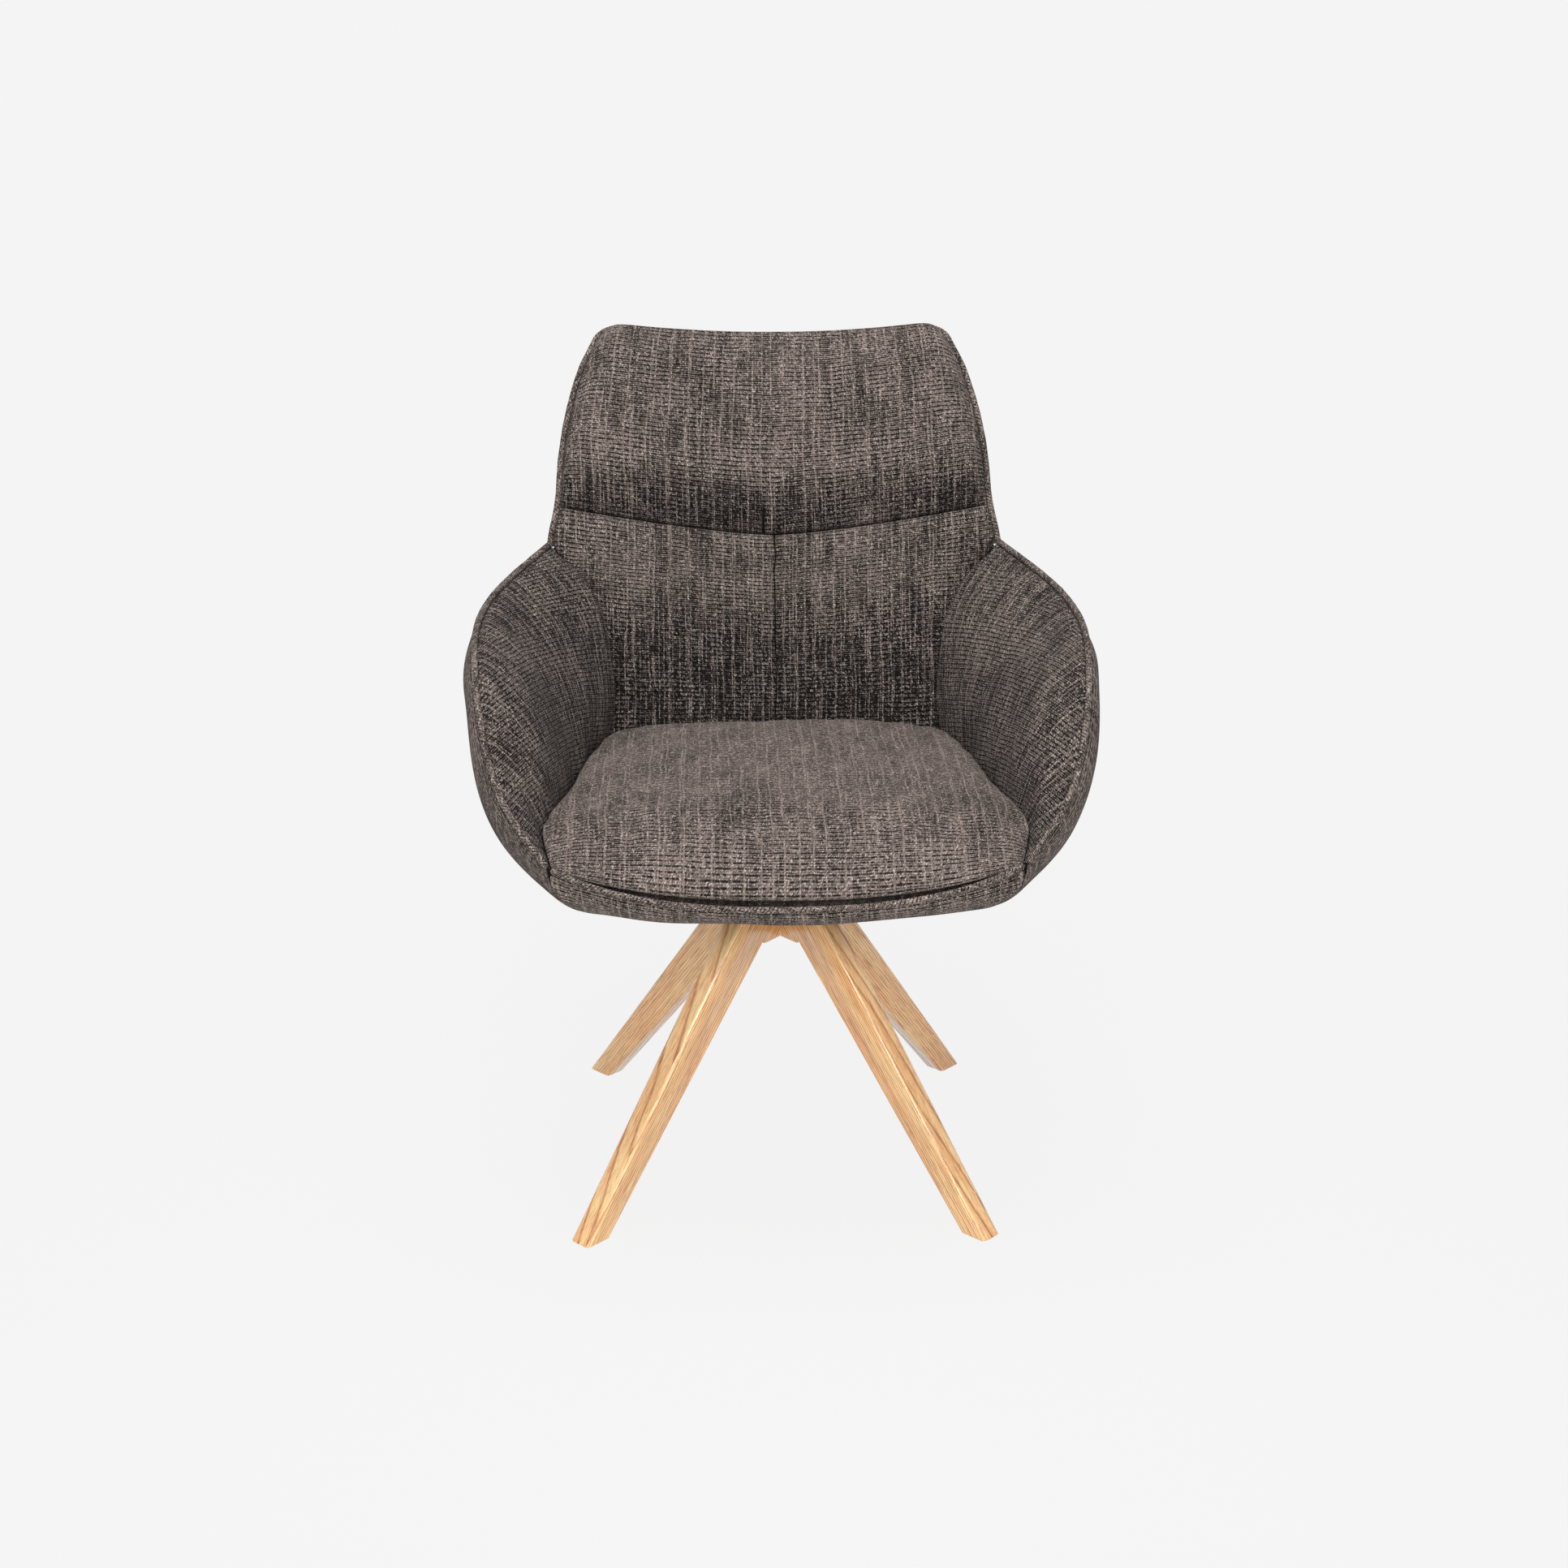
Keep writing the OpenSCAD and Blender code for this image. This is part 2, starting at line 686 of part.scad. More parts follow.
// Point in plan between the middle of the seat, s = 0, and the point p, s = 1
function toward_middle(p, s) = [mix(seat_middle[0], p[0], s), mix(seat_middle[1], p[1], s)];

module seat_cushion() {
    sides = [for (level = edge_levels) cushion_edge(level)];
    lower = sides[0];
    outer = sides[len(sides) - 1];
    count = len(outer);
    rings = 6;
    function crown_ring(k) =
        let (s = 1 - k / rings, rise = pow(1 - pow(s, crown_power), crown_fullness))
        [for (p = outer) concat(toward_middle(p, s), mix(p[2], seat_height, rise))];
    base_rings = [
        [for (p = lower) concat(toward_middle(p, 0.9), max(p[2], cushion_low))],
        [for (p = lower) concat(toward_middle(p, 0.8), cushion_low)]
    ];
    tops = concat([base_rings[1], base_rings[0]], sides, [for (k = [1 : rings - 1]) crown_ring(k)]);
    middle_low = concat(toward_middle(seat_middle, 0), cushion_low);
    points = concat([for (r = tops) for (p = r) p], [seat_middle, middle_low]);
    crown = len(tops) * count;
    skin = [
        for (k = [0 : len(tops) - 2]) for (i = [0 : count - 1])
            let (a = k * count + i, b = k * count + (i + 1) % count)
            each [[a, b + count, b], [a, a + count, b + count]]
    ];
    caps = [
        for (i = [0 : count - 1])
            let (top = (len(tops) - 1) * count)
            each [[top + i, crown, top + (i + 1) % count], [i, (i + 1) % count, crown + 1]]
    ];
    color(fabric) polyhedron(points = points, faces = concat(skin, caps), convexity = 8);
}

// Plan of the seat board, and of the foam that lies between the pads
board_plan = [
    [60 - board_half, board_front],
    [board_half - 60, board_front],
    [board_half - 14, board_front + 34],
    [board_half, board_front + 100],
    [board_half - 2, 40],
    [board_half - 32, 105],
    [board_half - 92, board_rear],
    [92 - board_half, board_rear],
    [32 - board_half, 105],
    [2 - board_half, 40],
    [-board_half, board_front + 100],
    [14 - board_half, board_front + 34]
];
foam_plan = [
    [62 - board_half, board_front + 6],
    [board_half - 62, board_front + 6],
    [board_half - 18, board_front + 40],
    [board_half - 16, 30],
    [board_half - 36, back_depths[0] - 38],
    [36 - board_half, back_depths[0] - 38],
    [16 - board_half, 30],
    [18 - board_half, board_front + 40]
];
module seat_board() {
    color([0.78, 0.66, 0.48]) difference() {
        translate([0, 0, board_low]) linear_extrude(board_thick) polygon(board_plan);
        translate([0, 0, board_low - 1]) cylinder(r = washer_r + 5, h = board_thick + 2, $fn = 64);
        at_seat_bolts() {
            translate([0, 0, board_low - 1]) cylinder(r = tee_r + fit_gap, h = board_thick + 2, $fn = 32);
            translate([0, 0, board_top - tee_flange]) cylinder(r = 2 * tee_r + face_gap, h = 10, $fn = 48);
        }
        at_bar_screws() translate([0, 0, board_top - bar_screw_long])
            cylinder(r = screw_r + fit_gap, h = 30, $fn = 24);
    }
}
module seat_foam() {
    color([0.85, 0.80, 0.62]) translate([0, 0, foam_low])
        linear_extrude(foam_top - foam_low) polygon(foam_plan);
}

// Flat steel bars on the board, whose ends carry the tubes
module at_bar_screws() {
    for (x = [-150, -60, 60, 150]) translate([x, arm_bar_y, 0]) children();
    for (x = [-90, 90]) translate([x, back_bar_y - 6, 0]) children();
}
module frame_bars() {
    color(black_steel) difference() {
        union() {
            translate([1 - arm_tube_foot[0] - tube_r, arm_bar_y - bar_half, board_top])
                cube([2 * (arm_tube_foot[0] + tube_r - 1), bar_wide, bar_thick]);
            translate([-back_tube_x - bar_half, back_bar_y - bar_half, board_top])
                cube([2 * back_tube_x + bar_wide, bar_wide, bar_thick]);
        }
        at_bar_screws() translate([0, 0, board_top - 1]) screw_space();
    }
}
// Space of a countersunk screw in a plate that is bar_thick thick
module screw_space() {
    cylinder(r = screw_r + fit_gap, h = bar_thick + 2, $fn = 24);
    translate([0, 0, 1]) countersink();
}
module countersink() {
    cylinder(r1 = screw_r + fit_gap, r2 = screw_r + bar_thick + fit_gap, h = bar_thick + tiny, $fn = 32);
}
module countersunk_screw(long) {
    translate([0, 0, -long]) cylinder(r = screw_r, h = long + tiny, $fn = 24);
    cylinder(r1 = screw_r, r2 = screw_r + bar_thick - fit_gap, h = bar_thick - fit_gap, $fn = 32);
}
module bar_screws() {
    color(steel) at_bar_screws() translate([0, 0, board_top]) countersunk_screw(bar_screw_long - 1);
}

// Steel tubes of the back and the arms, behind the pads
function behind(x, z) = back_point(x / back_half(z), z) - back_normal(z, far) * tube_back;
module back_tube() {
    low = concat(
        [upright(arm_tube_foot[2]), upright(arm_tube_foot[2] + 14)],
        [for (t = steps(8)) upright(mix(arm_tube_foot[2] + 32, top_bar_z - tube_bend, t))]
    );
    bend = [for (k = [1 : 4])
        let (z = top_bar_z - tube_bend + tube_bend * sin(18 * k))
        behind(upright_x(z) - tube_bend * (1 - cos(18 * k)), z)];
    half = concat(low, bend, [for (x = [88, 44]) behind(x, top_bar_z)]);
    other = [for (i = [len(half) - 1 : -1 : 0]) half[i]];
    path = concat([for (p = half) mirrored(p)], [behind(0, top_bar_z)], other);
    color(black_steel) tube(path, tube_r, 8);
}
function upright_x(z) = mix(back_tube_x, back_tube_x + 28, (z - board_top) / (top_bar_z - board_top));
function upright(z) = z < board_top + 20 ? [back_tube_x, back_bar_y, z] : behind(upright_x(z), z);
function behind_arm(j, q) = arm_point(j, q) - arm_normal(j, q) * (pad_depth + tube_r + 3);
module arm_tube() {
    path = concat([arm_tube_foot], spline_points([
        arm_tube_foot + [0, 0, 10],
        behind_arm(0.55, 0.4),
        behind_arm(0.47, 0.6),
        behind_arm(0.34, 0.66),
        behind_arm(0.16, 0.67),
        back_point(1, arm_tube_z) + [20, 18, 0],
        behind(upright_x(arm_tube_z) + 44, arm_tube_z) + [0, 4, 0],
        behind(upright_x(arm_tube_z), arm_tube_z) + [2 * tube_r + face_gap, 1, 0]
    ], 27));
    tube(path, tube_r, 8);
}
function spline_points(p, n) = [for (t = steps(n)) spline(p, t)];
module right_arm_tube() {
    color(black_steel) arm_tube();
}
module left_arm_tube() {
    color(black_steel) left_side() arm_tube();
}
module back_straps() {
    color([0.15, 0.15, 0.16]) for (z0 = strap_heights) {
        grid = [for (z = [z0 - strap_wide / 2, z0 + strap_wide / 2]) [for (x = [-5 : 5])
            [back_point(x * (upright_x(z0) + tube_r) / 5 / back_half(z), z), back_normal(z, far)]]];
        slab(
            [for (r = grid) [for (g = r) g[0] - g[1] * (pad_depth + 2 * face_gap)]],
            [for (r = grid) [for (g = r) g[0] - g[1] * (pad_depth + 2 * face_gap + strap_thick)]]
        );
    }
}

// Underside cloth, under the turned-in edges of the covers
module dust_cover() {
    lap = 10;
    outline = concat(
        [for (t = steps(8)) let (a = mix(-1, 1, t)) front_bottom(a) + lap * front_outward(a)],
        [for (t = steps(8)) spline(bottom_edge, 1 - t) + lap * arm_outward(1 - t)],
        [for (t = steps(8)) let (a = mix(1, -1, t)) rear_bottom(a) + lap * rear_outward(a)],
        [for (t = steps(8)) mirrored(spline(bottom_edge, t) + lap * arm_outward(t))]
    );
    color([0.08, 0.08, 0.08]) difference() {
        translate([0, 0, dust_low]) linear_extrude(dust_cloth) polygon([for (p = outline) [p[0], p[1]]]);
        translate([0, 0, dust_low - 1])
            cylinder(r = norm([seat_bolt_x, seat_bolt_x]) + 12, h = 10, $fn = 96);
    }
}

// Legs: hulls between the foot and the top, cut to a mitre where the four legs meet
function leg_outer(z) = foot_r + foot_long / 2 - lean_outer * z;
function leg_inner(z) = foot_r - foot_long / 2 - lean_inner * z;
module leg_slice(z) {
    low = max(leg_inner(z), 0);
    translate([low + leg_round, -leg_thick / 2 + leg_round, z])
        linear_extrude(tiny)
            offset(r = leg_round, $fn = 24)
                square([leg_outer(z) - low - 2 * leg_round, leg_thick - 2 * leg_round]);
}
module leg_body() {
    intersection() {
        union() {
            hull() {
                leg_slice(glide_high);
                leg_slice(knee_z);
                leg_slice(leg_top - tiny);
            }
            translate([0, leg_thick / 2 - 1, 0]) rotate([90, 0, 0]) linear_extrude(leg_thick - 2) polygon([
                [0, knee_z + 2],
                [knee_r - 3, knee_z],
                [knee_r + 1, knee_z + 2],
                [knee_r + 1, leg_top - 12],
                [0, leg_top]
            ]);
        }
        linear_extrude(leg_top) polygon([
            [mitre_gap, 0],
            [2 * foot_r, 2 * foot_r - mitre_gap],
            [2 * foot_r, mitre_gap - 2 * foot_r]
        ]);
    }
}
module leg(turn) {
    color(oak) difference() {
        rotate([0, 0, turn]) leg_body();
        rotate([0, 0, turn]) translate([foot_r - 2, 0, glide_high - 1])
            cylinder(r = glide_pin_r + fit_gap, h = glide_pin_long + 1.5, $fn = 24);
        rotate([0, 0, turn]) for (r = screw_rs)
            translate([r, 0, leg_top - leg_screw_long - 1])
                cylinder(r = screw_r + fit_gap, h = leg_screw_long + 2, $fn = 24);
        dowels(dowel_r + fit_gap, dowel_long + 1);
    }
}
module front_left_leg() {
    leg(225);
}
module front_right_leg() {
    leg(315);
}
module rear_left_leg() {
    leg(135);
}
module rear_right_leg() {
    leg(45);
}
module dowels(r, long) {
    for (turn = [0, 180]) rotate([0, 0, turn]) dowel(r, long, dowel_low);
    for (turn = [90, 270]) rotate([0, 0, turn]) dowel(r, long, dowel_high);
}
module dowel(r, long, z) {
    translate([-long / 2, -dowel_out, z]) rotate([0, 90, 0]) cylinder(r = r, h = long, $fn = 32);
}
module hub_dowels() {
    color([0.85, 0.72, 0.52]) dowels(dowel_r, dowel_long);
}
module floor_glides() {
    color([0.10, 0.10, 0.10])
        for (turn = [45 : 90 : 315]) rotate([0, 0, turn]) translate([foot_r - 2, 0, 0]) {
            cylinder(r = glide_r, h = glide_high - 0.05, $fn = 48);
            cylinder(r = glide_pin_r, h = glide_high + glide_pin_long, $fn = 24);
        }
}

// Swivel, from the base plate upwards
module plate(z, thick) {
    translate([-plate_side / 2, -plate_side / 2, z]) cube([plate_side, plate_side, thick]);
}
module at_swivel_bolts() {
    for (turn = [0 : 90 : 270]) rotate([0, 0, turn]) translate([swivel_bolt_ring, 0, 0]) children();
}
module at_seat_bolts() {
    for (x = [-1, 1]) for (y = [-1, 1]) translate([x * seat_bolt_x, y * seat_bolt_x, 0]) children();
}
module at_leg_screws() {
    for (turn = [45 : 90 : 315]) rotate([0, 0, turn]) for (r = screw_rs) translate([r, 0, 0]) children();
}
module base_plate() {
    color(black_steel) difference() {
        plate(leg_top, base_plate_thick);
        translate([0, 0, leg_top - 1]) cylinder(r = pin_r + fit_gap, h = 20, $fn = 64);
        at_swivel_bolts() translate([0, 0, leg_top - 1]) cylinder(r = bolt_r + fit_gap, h = 20, $fn = 32);
        at_leg_screws() {
            translate([0, 0, leg_top - 1]) cylinder(r = screw_r + fit_gap, h = 20, $fn = 24);
            translate([0, 0, base_top - bar_thick]) countersink();
        }
    }
}
module leg_screws() {
    color(steel) at_leg_screws() translate([0, 0, base_top - bar_thick])
        countersunk_screw(leg_screw_long + base_plate_thick - bar_thick);
}
module lower_swivel_plate() {
    color(steel) difference() {
        plate(base_top, swivel_plate_thick);
        translate([0, 0, base_top - 1]) cylinder(r = pin_r + fit_gap, h = 20, $fn = 64);
        at_swivel_bolts() translate([0, 0, base_top - 1]) cylinder(r = bolt_r + fit_gap, h = 20, $fn = 32);
    }
}
module hexagon(r, h) {
    cylinder(r = r, h = h, $fn = 6);
}
module swivel_bolts() {
    color(steel) at_swivel_bolts() {
        translate([0, 0, leg_top - 9]) cylinder(r = bolt_r, h = lower_top - leg_top + 9 + tiny, $fn = 32);
        translate([0, 0, lower_top]) hexagon(1.9 * bolt_r, 4);
    }
}
module swivel_nuts() {
    color(steel) at_swivel_bolts() difference() {
        translate([0, 0, leg_top - 5]) hexagon(1.9 * bolt_r, 5);
        translate([0, 0, leg_top - 6]) cylinder(r = bolt_r + fit_gap, h = 10, $fn = 32);
    }
}
module race(z) {
    difference() {
        translate([0, 0, z]) cylinder(r = ball_ring_r + race_half, h = race_thick, $fn = 96);
        translate([0, 0, z - 1]) cylinder(r = ball_ring_r - race_half, h = race_thick + 2, $fn = 96);
        translate([0, 0, ball_z]) rotate_extrude($fn = 96) translate([ball_ring_r, 0])
            circle(r = ball_r + turning_gap, $fn = 48);
    }
}
module lower_race() {
    color(steel) race(lower_top);
}
module upper_race() {
    color(steel) race(upper_race_low);
}
module bearing_balls() {
    color([0.75, 0.76, 0.78]) for (k = [0 : ball_count - 1])
        rotate([0, 0, 360 * k / ball_count]) translate([ball_ring_r, 0, ball_z])
            sphere(r = ball_r, $fn = 32);
}
module ball_cage() {
    color([0.80, 0.68, 0.35]) difference() {
        translate([0, 0, ball_z - 0.5]) cylinder(r = ball_ring_r + race_half, h = 1, $fn = 96);
        translate([0, 0, ball_z - 2]) cylinder(r = ball_ring_r - race_half, h = 4, $fn = 96);
        for (k = [0 : ball_count - 1])
            rotate([0, 0, 360 * k / ball_count]) translate([ball_ring_r, 0, ball_z - 2])
                cylinder(r = ball_r + 2 * turning_gap, h = 4, $fn = 32);
    }
}
module centre_pin() {
    color(steel) difference() {
        union() {
            translate([0, 0, leg_top + 0.5]) cylinder(r = pin_r, h = pin_top - leg_top - 0.5, $fn = 64);
            translate([0, 0, lower_top]) cylinder(r = pin_flange_r, h = 4, $fn = 64);
        }
        translate([0, 0, board_low + washer_thick + face_gap]) difference() {
            cylinder(r = pin_r + 5, h = ring_thick + 0.1, $fn = 64);
            translate([0, 0, -1]) cylinder(r = pin_r - 1, h = ring_thick + 3, $fn = 64);
        }
    }
}
module pin_washer() {
    color(steel) translate([0, 0, board_low + 0.1]) difference() {
        cylinder(r = washer_r, h = washer_thick, $fn = 64);
        translate([0, 0, -1]) cylinder(r = pin_r + turning_gap, h = 10, $fn = 64);
    }
}
module retaining_ring() {
    color(steel) translate([0, 0, board_low + washer_thick + face_gap + 0.05]) difference() {
        cylinder(r = pin_r + 3.5, h = ring_thick, $fn = 64);
        translate([0, 0, -1]) cylinder(r = pin_r - 1 + fit_gap, h = 10, $fn = 64);
        translate([0, -2.5, -1]) cube([30, 5, 10]);
    }
}
module upper_swivel_plate() {
    color(steel) difference() {
        union() {
            plate(upper_low, swivel_plate_thick);
            translate([0, 0, boss_low])
                cylinder(r = ball_ring_r + race_half, h = upper_low - boss_low + tiny, $fn = 96);
        }
        translate([0, 0, boss_low - 1])
            cylinder(r = ball_ring_r - race_half, h = upper_low - boss_low + 1, $fn = 96);
        translate([0, 0, upper_low - 1]) cylinder(r = pin_r + turning_gap, h = 10, $fn = 64);
        at_seat_bolts() translate([0, 0, upper_low - 1]) cylinder(r = bolt_r + fit_gap, h = 10, $fn = 32);
    }
}
module seat_bolts() {
    color(steel) at_seat_bolts() {
        translate([0, 0, upper_low - 4]) hexagon(1.9 * bolt_r, 4);
        translate([0, 0, upper_low - tiny])
            cylinder(r = bolt_r, h = board_thick + swivel_plate_thick - 1, $fn = 32);
    }
}
module tee_nuts() {
    color(steel) at_seat_bolts() difference() {
        union() {
            translate([0, 0, board_low + 2]) cylinder(r = tee_r, h = board_thick - 2, $fn = 32);
            translate([0, 0, board_top - tee_flange]) cylinder(r = 2 * tee_r, h = tee_flange, $fn = 48);
        }
        translate([0, 0, board_low]) cylinder(r = bolt_r + fit_gap, h = 30, $fn = 32);
    }
}

front_left_leg();
front_right_leg();
rear_left_leg();
rear_right_leg();
floor_glides();
hub_dowels();
base_plate();
leg_screws();
lower_swivel_plate();
swivel_bolts();
swivel_nuts();
lower_race();
bearing_balls();
ball_cage();
centre_pin();
pin_washer();
retaining_ring();
upper_race();
upper_swivel_plate();
seat_bolts();
tee_nuts();
seat_board();
frame_bars();
bar_screws();
back_tube();
left_arm_tube();
right_arm_tube();
back_straps();
seat_foam();
seat_cushion();
lower_left_back_pad();
lower_right_back_pad();
upper_back_pad();
left_arm_pad();
right_arm_pad();
left_side_cover();
right_side_cover();
rear_cover();
front_apron();
back_piping();
left_arm_piping();
right_arm_piping();
front_piping();
dust_cover();
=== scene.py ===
import json
import math
from contextlib import contextmanager

import bpy
import numpy as np
from mathutils import Matrix, Vector, noise


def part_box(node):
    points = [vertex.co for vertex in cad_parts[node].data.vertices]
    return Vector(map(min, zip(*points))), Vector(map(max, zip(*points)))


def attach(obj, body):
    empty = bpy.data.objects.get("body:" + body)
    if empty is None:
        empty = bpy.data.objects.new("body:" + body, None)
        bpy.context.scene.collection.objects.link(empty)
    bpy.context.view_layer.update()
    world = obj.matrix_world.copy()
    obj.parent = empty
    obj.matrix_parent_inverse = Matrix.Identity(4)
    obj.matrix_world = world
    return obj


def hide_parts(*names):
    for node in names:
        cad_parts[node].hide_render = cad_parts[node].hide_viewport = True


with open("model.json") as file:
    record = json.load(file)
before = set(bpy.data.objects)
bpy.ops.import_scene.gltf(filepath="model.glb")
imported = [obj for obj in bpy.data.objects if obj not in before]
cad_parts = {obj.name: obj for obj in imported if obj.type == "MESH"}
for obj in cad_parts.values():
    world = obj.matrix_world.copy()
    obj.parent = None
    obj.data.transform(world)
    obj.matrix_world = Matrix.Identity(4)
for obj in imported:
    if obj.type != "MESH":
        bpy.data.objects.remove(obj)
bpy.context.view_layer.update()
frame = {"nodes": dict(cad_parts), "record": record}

# An upholstered swivel armchair on an oak star base, in metres.
# The chair faces -Y; the left and right of the names are the viewer's, seen from the front.
# On the back, a goes from -1 at the left edge to 1 at the right, and z is the height. On an arm, j goes
# from the neck to the front corner, and q from the seat up to the rim. u and v run over a piece's own grid.
scene = bpy.context.scene
bpy.ops.object.select_all(action="DESELECT")
print("frame loaded:", len(frame["nodes"]), "nodes")


def boxLow(node):
    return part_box(node)[0]


def boxHigh(node):
    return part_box(node)[1]


# Camera, at the photograph's viewing angle
cameraView = {
    "lens": 51.95,      # mm on a 36 mm sensor
    "pitch": 18.42,     # degrees below the horizon
    "turn": -1.8,       # degrees round the chair
    "distance": 2.25992,
    "height": 1.1766,
    "aside": 0.0045,
}
turn = math.radians(cameraView["turn"])
bpy.ops.object.camera_add(
    location=(
        cameraView["distance"] * math.sin(turn) + cameraView["aside"] * math.cos(turn),
        -cameraView["distance"] * math.cos(turn) + cameraView["aside"] * math.sin(turn),
        cameraView["height"],
    ),
    rotation=(math.radians(90 - cameraView["pitch"]), 0, turn),
)
camera = bpy.context.object
camera.name = "camera"
camera.data.lens = cameraView["lens"]
camera.data.sensor_width = 36
scene.camera = camera
scene.view_settings.view_transform = "Standard"
print("camera placed")


# Curves and rolls that shape the upholstery
def mix(a, b, t):
    return a + (b - a) * t


def xyz(x, y, z):
    return np.stack(np.broadcast_arrays(x, y, z), -1).astype(float)


def unit(v):
    return v / np.linalg.norm(v, axis=-1, keepdims=True)


def spline(stations, t):
    # smooth curve through the stations, t from 0 to 1
    p = np.asarray(stations, float)
    t = np.asarray(t, float)
    last = len(p) - 1
    i = np.clip(np.floor(t * last).astype(int), 0, last - 1)
    k = t * last - i
    if p.ndim == 2:
        k = k[..., None]
    a, b, c, d = p[np.maximum(i - 1, 0)], p[i], p[i + 1], p[np.minimum(i + 2, last)]
    bend = (2 * a - 5 * b + 4 * c - d) * k**2 + (3 * b - a - 3 * c + d) * k**3
    return 0.5 * (2 * b + (c - a) * k + bend)


def bezier(a, b, c, d, t):
    t = np.asarray(t, float)[..., None]
    return (1 - t) ** 3 * a + 3 * (1 - t) ** 2 * t * b + 3 * (1 - t) * t**2 * c + t**3 * d


def roll(x, r):
    # quarter round from 0 at a sewn edge to 1 at the distance r
    return np.sqrt(np.clip(1 - (1 - np.clip(x / r, 0, 1)) ** 2, 0, 1))


def ease(x, r):
    # slow rise from 0 at a sewn edge to 1 at the distance r
    return 0.5 - 0.5 * np.cos(math.pi * np.clip(x / r, 0, 1))


def eased(t):
    # closer steps near both ends
    return 0.5 - 0.5 * np.cos(math.pi * t)


def lumps(points, size, height, seed):
    # soft unevenness of stuffing, in metres
    shift = Vector((seed * 3.1, seed * 1.7, -seed * 2.3))
    waves = [noise.noise(Vector(p) / size + shift) for p in points]
    return np.array(waves) * height


def puckers(along, distance, seed, height=0.0006, length=0.013, reach=0.011):
    # short waves where the thread draws the cloth in, in metres
    wander = np.array([noise.noise(Vector((a * 31, seed, 0))) for a in along])
    strength = np.array([0.55 + noise.noise(Vector((a * 17, seed + 9, 0))) for a in along])
    waves = np.sin(2 * math.pi * along / length + 5 * wander) * np.clip(strength, 0, 1)
    return height * waves * np.exp(-((distance - 0.004) / reach) ** 2)


# The outline of the shell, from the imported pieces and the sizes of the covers
shell = {
    "neckHeight": 0.640, "neckHalf": 0.243,
    "topRise": 0.014, "cornerDrop": 0.014, "cornerStart": 0.89, "backDish": 0.018,
    "crossSeam": 0.6465, "crossSeamRise": 0.034, "backHeight": 0.853,
    "rearSwell": 0.0295,
    "armHalf": 0.299, "armTop": 0.612, "armSwell": 0.043,
    "frontReach": 0.301, "frontHeight": 0.404,
    "cornerHalf": 0.222, "cornerReach": 0.268, "cornerHeight": 0.430,
    "sewnEdge": 0.002, "coverDepth": 0.005, "padDepth": 0.010, "faceGap": 0.0003,
    "pipingRadius": 0.0033, "seamGap": 0.00025,
}
padLow = boxLow("lower_left_back_pad").z
coverLow = boxLow("front_apron").z
seatTop = boxHigh("seat_cushion").z
foamTop = boxHigh("seat_foam").z
neckHeight, neckHalf = shell["neckHeight"], shell["neckHalf"]
backTop = shell["backHeight"]
sideTop = backTop + shell["topRise"]
sewnEdge, faceGap = shell["sewnEdge"], shell["faceGap"]
pipingOut = shell["pipingRadius"] + 2 * faceGap

# Half widths of the back at even steps of height, below and above the neck
creaseHalves = [0.184, 0.184, 0.186, 0.191, 0.205, neckHalf]
sideHalves = [neckHalf - less for less in (0, 0.009, 0.013, 0.021, 0.035, 0.056)]
# Depth of the back's sewn surface at even steps of height
backDepths = [0.133, 0.163, 0.199, 0.239, 0.288]


def backHalf(z):
    low = spline(creaseHalves, (z - padLow) / (neckHeight - padLow))
    high = spline(sideHalves, (z - neckHeight) / (sideTop - neckHeight))
    return np.where(z < neckHeight, low, high)


def backDepth(z):
    return spline(backDepths, (z - padLow) / (backTop - padLow))


def backPoint(a, z):
    return xyz(a * backHalf(z), backDepth(z) - shell["backDish"] * a * a, z)


# How far the back's face leans, in degrees: at the foot, more above the given height, and at the top edge
backLean = {"foot": 17, "more": 7, "moreFrom": 0.650, "moreOver": 0.120, "edge": 42, "edgeReach": 0.045}


def backNormal(z, fromTop):
    more = np.clip((z - backLean["moreFrom"]) / backLean["moreOver"], 0, 1)
    lean = backLean["foot"] + backLean["more"] * more
    lean = lean + backLean["edge"] * np.maximum(0, 1 - fromTop / backLean["edgeReach"]) ** 1.5
    lean = np.radians(lean)
    return xyz(0, -np.cos(lean), np.sin(lean))


def topEdge(a):
    e = np.maximum(0, (np.abs(a) - shell["cornerStart"]) / (1 - shell["cornerStart"]))
    drop = shell["cornerDrop"] * (1 - np.sqrt(np.maximum(0, 1 - e * e)))
    return backTop + shell["topRise"] * a * a - drop


def crossEdge(a):
    return shell["crossSeam"] + shell["crossSeamRise"] * np.abs(a) ** 1.4


# The piping line of the right arm, from the neck forward to the front corner
armHalf, armTop = shell["armHalf"], shell["armTop"]
cornerHalf, cornerReach, cornerHeight = shell["cornerHalf"], shell["cornerReach"], shell["cornerHeight"]
neckPoint = [neckHalf, float(backDepth(neckHeight)) - shell["backDish"], neckHeight]
armRim = [
    neckPoint,
    [armHalf - 0.002, 0.040, armTop],
    [armHalf, -0.105, armTop - 0.027],
    [armHalf - 0.026, -0.215, mix(cornerHeight, armTop, 0.37)],
    [cornerHalf, -cornerReach, cornerHeight],
]
# The line where the inner arm pad meets the seat
armFoot = [
    [creaseHalves[0], backDepths[0] - shell["backDish"], padLow],
    [creaseHalves[0] + 0.015, 0.020, padLow],
    [cornerHalf - 0.012, -0.080, padLow],
    [cornerHalf - 0.006, -0.165, padLow],
    [cornerHalf - 0.011, 0.026 - cornerReach, padLow],
]


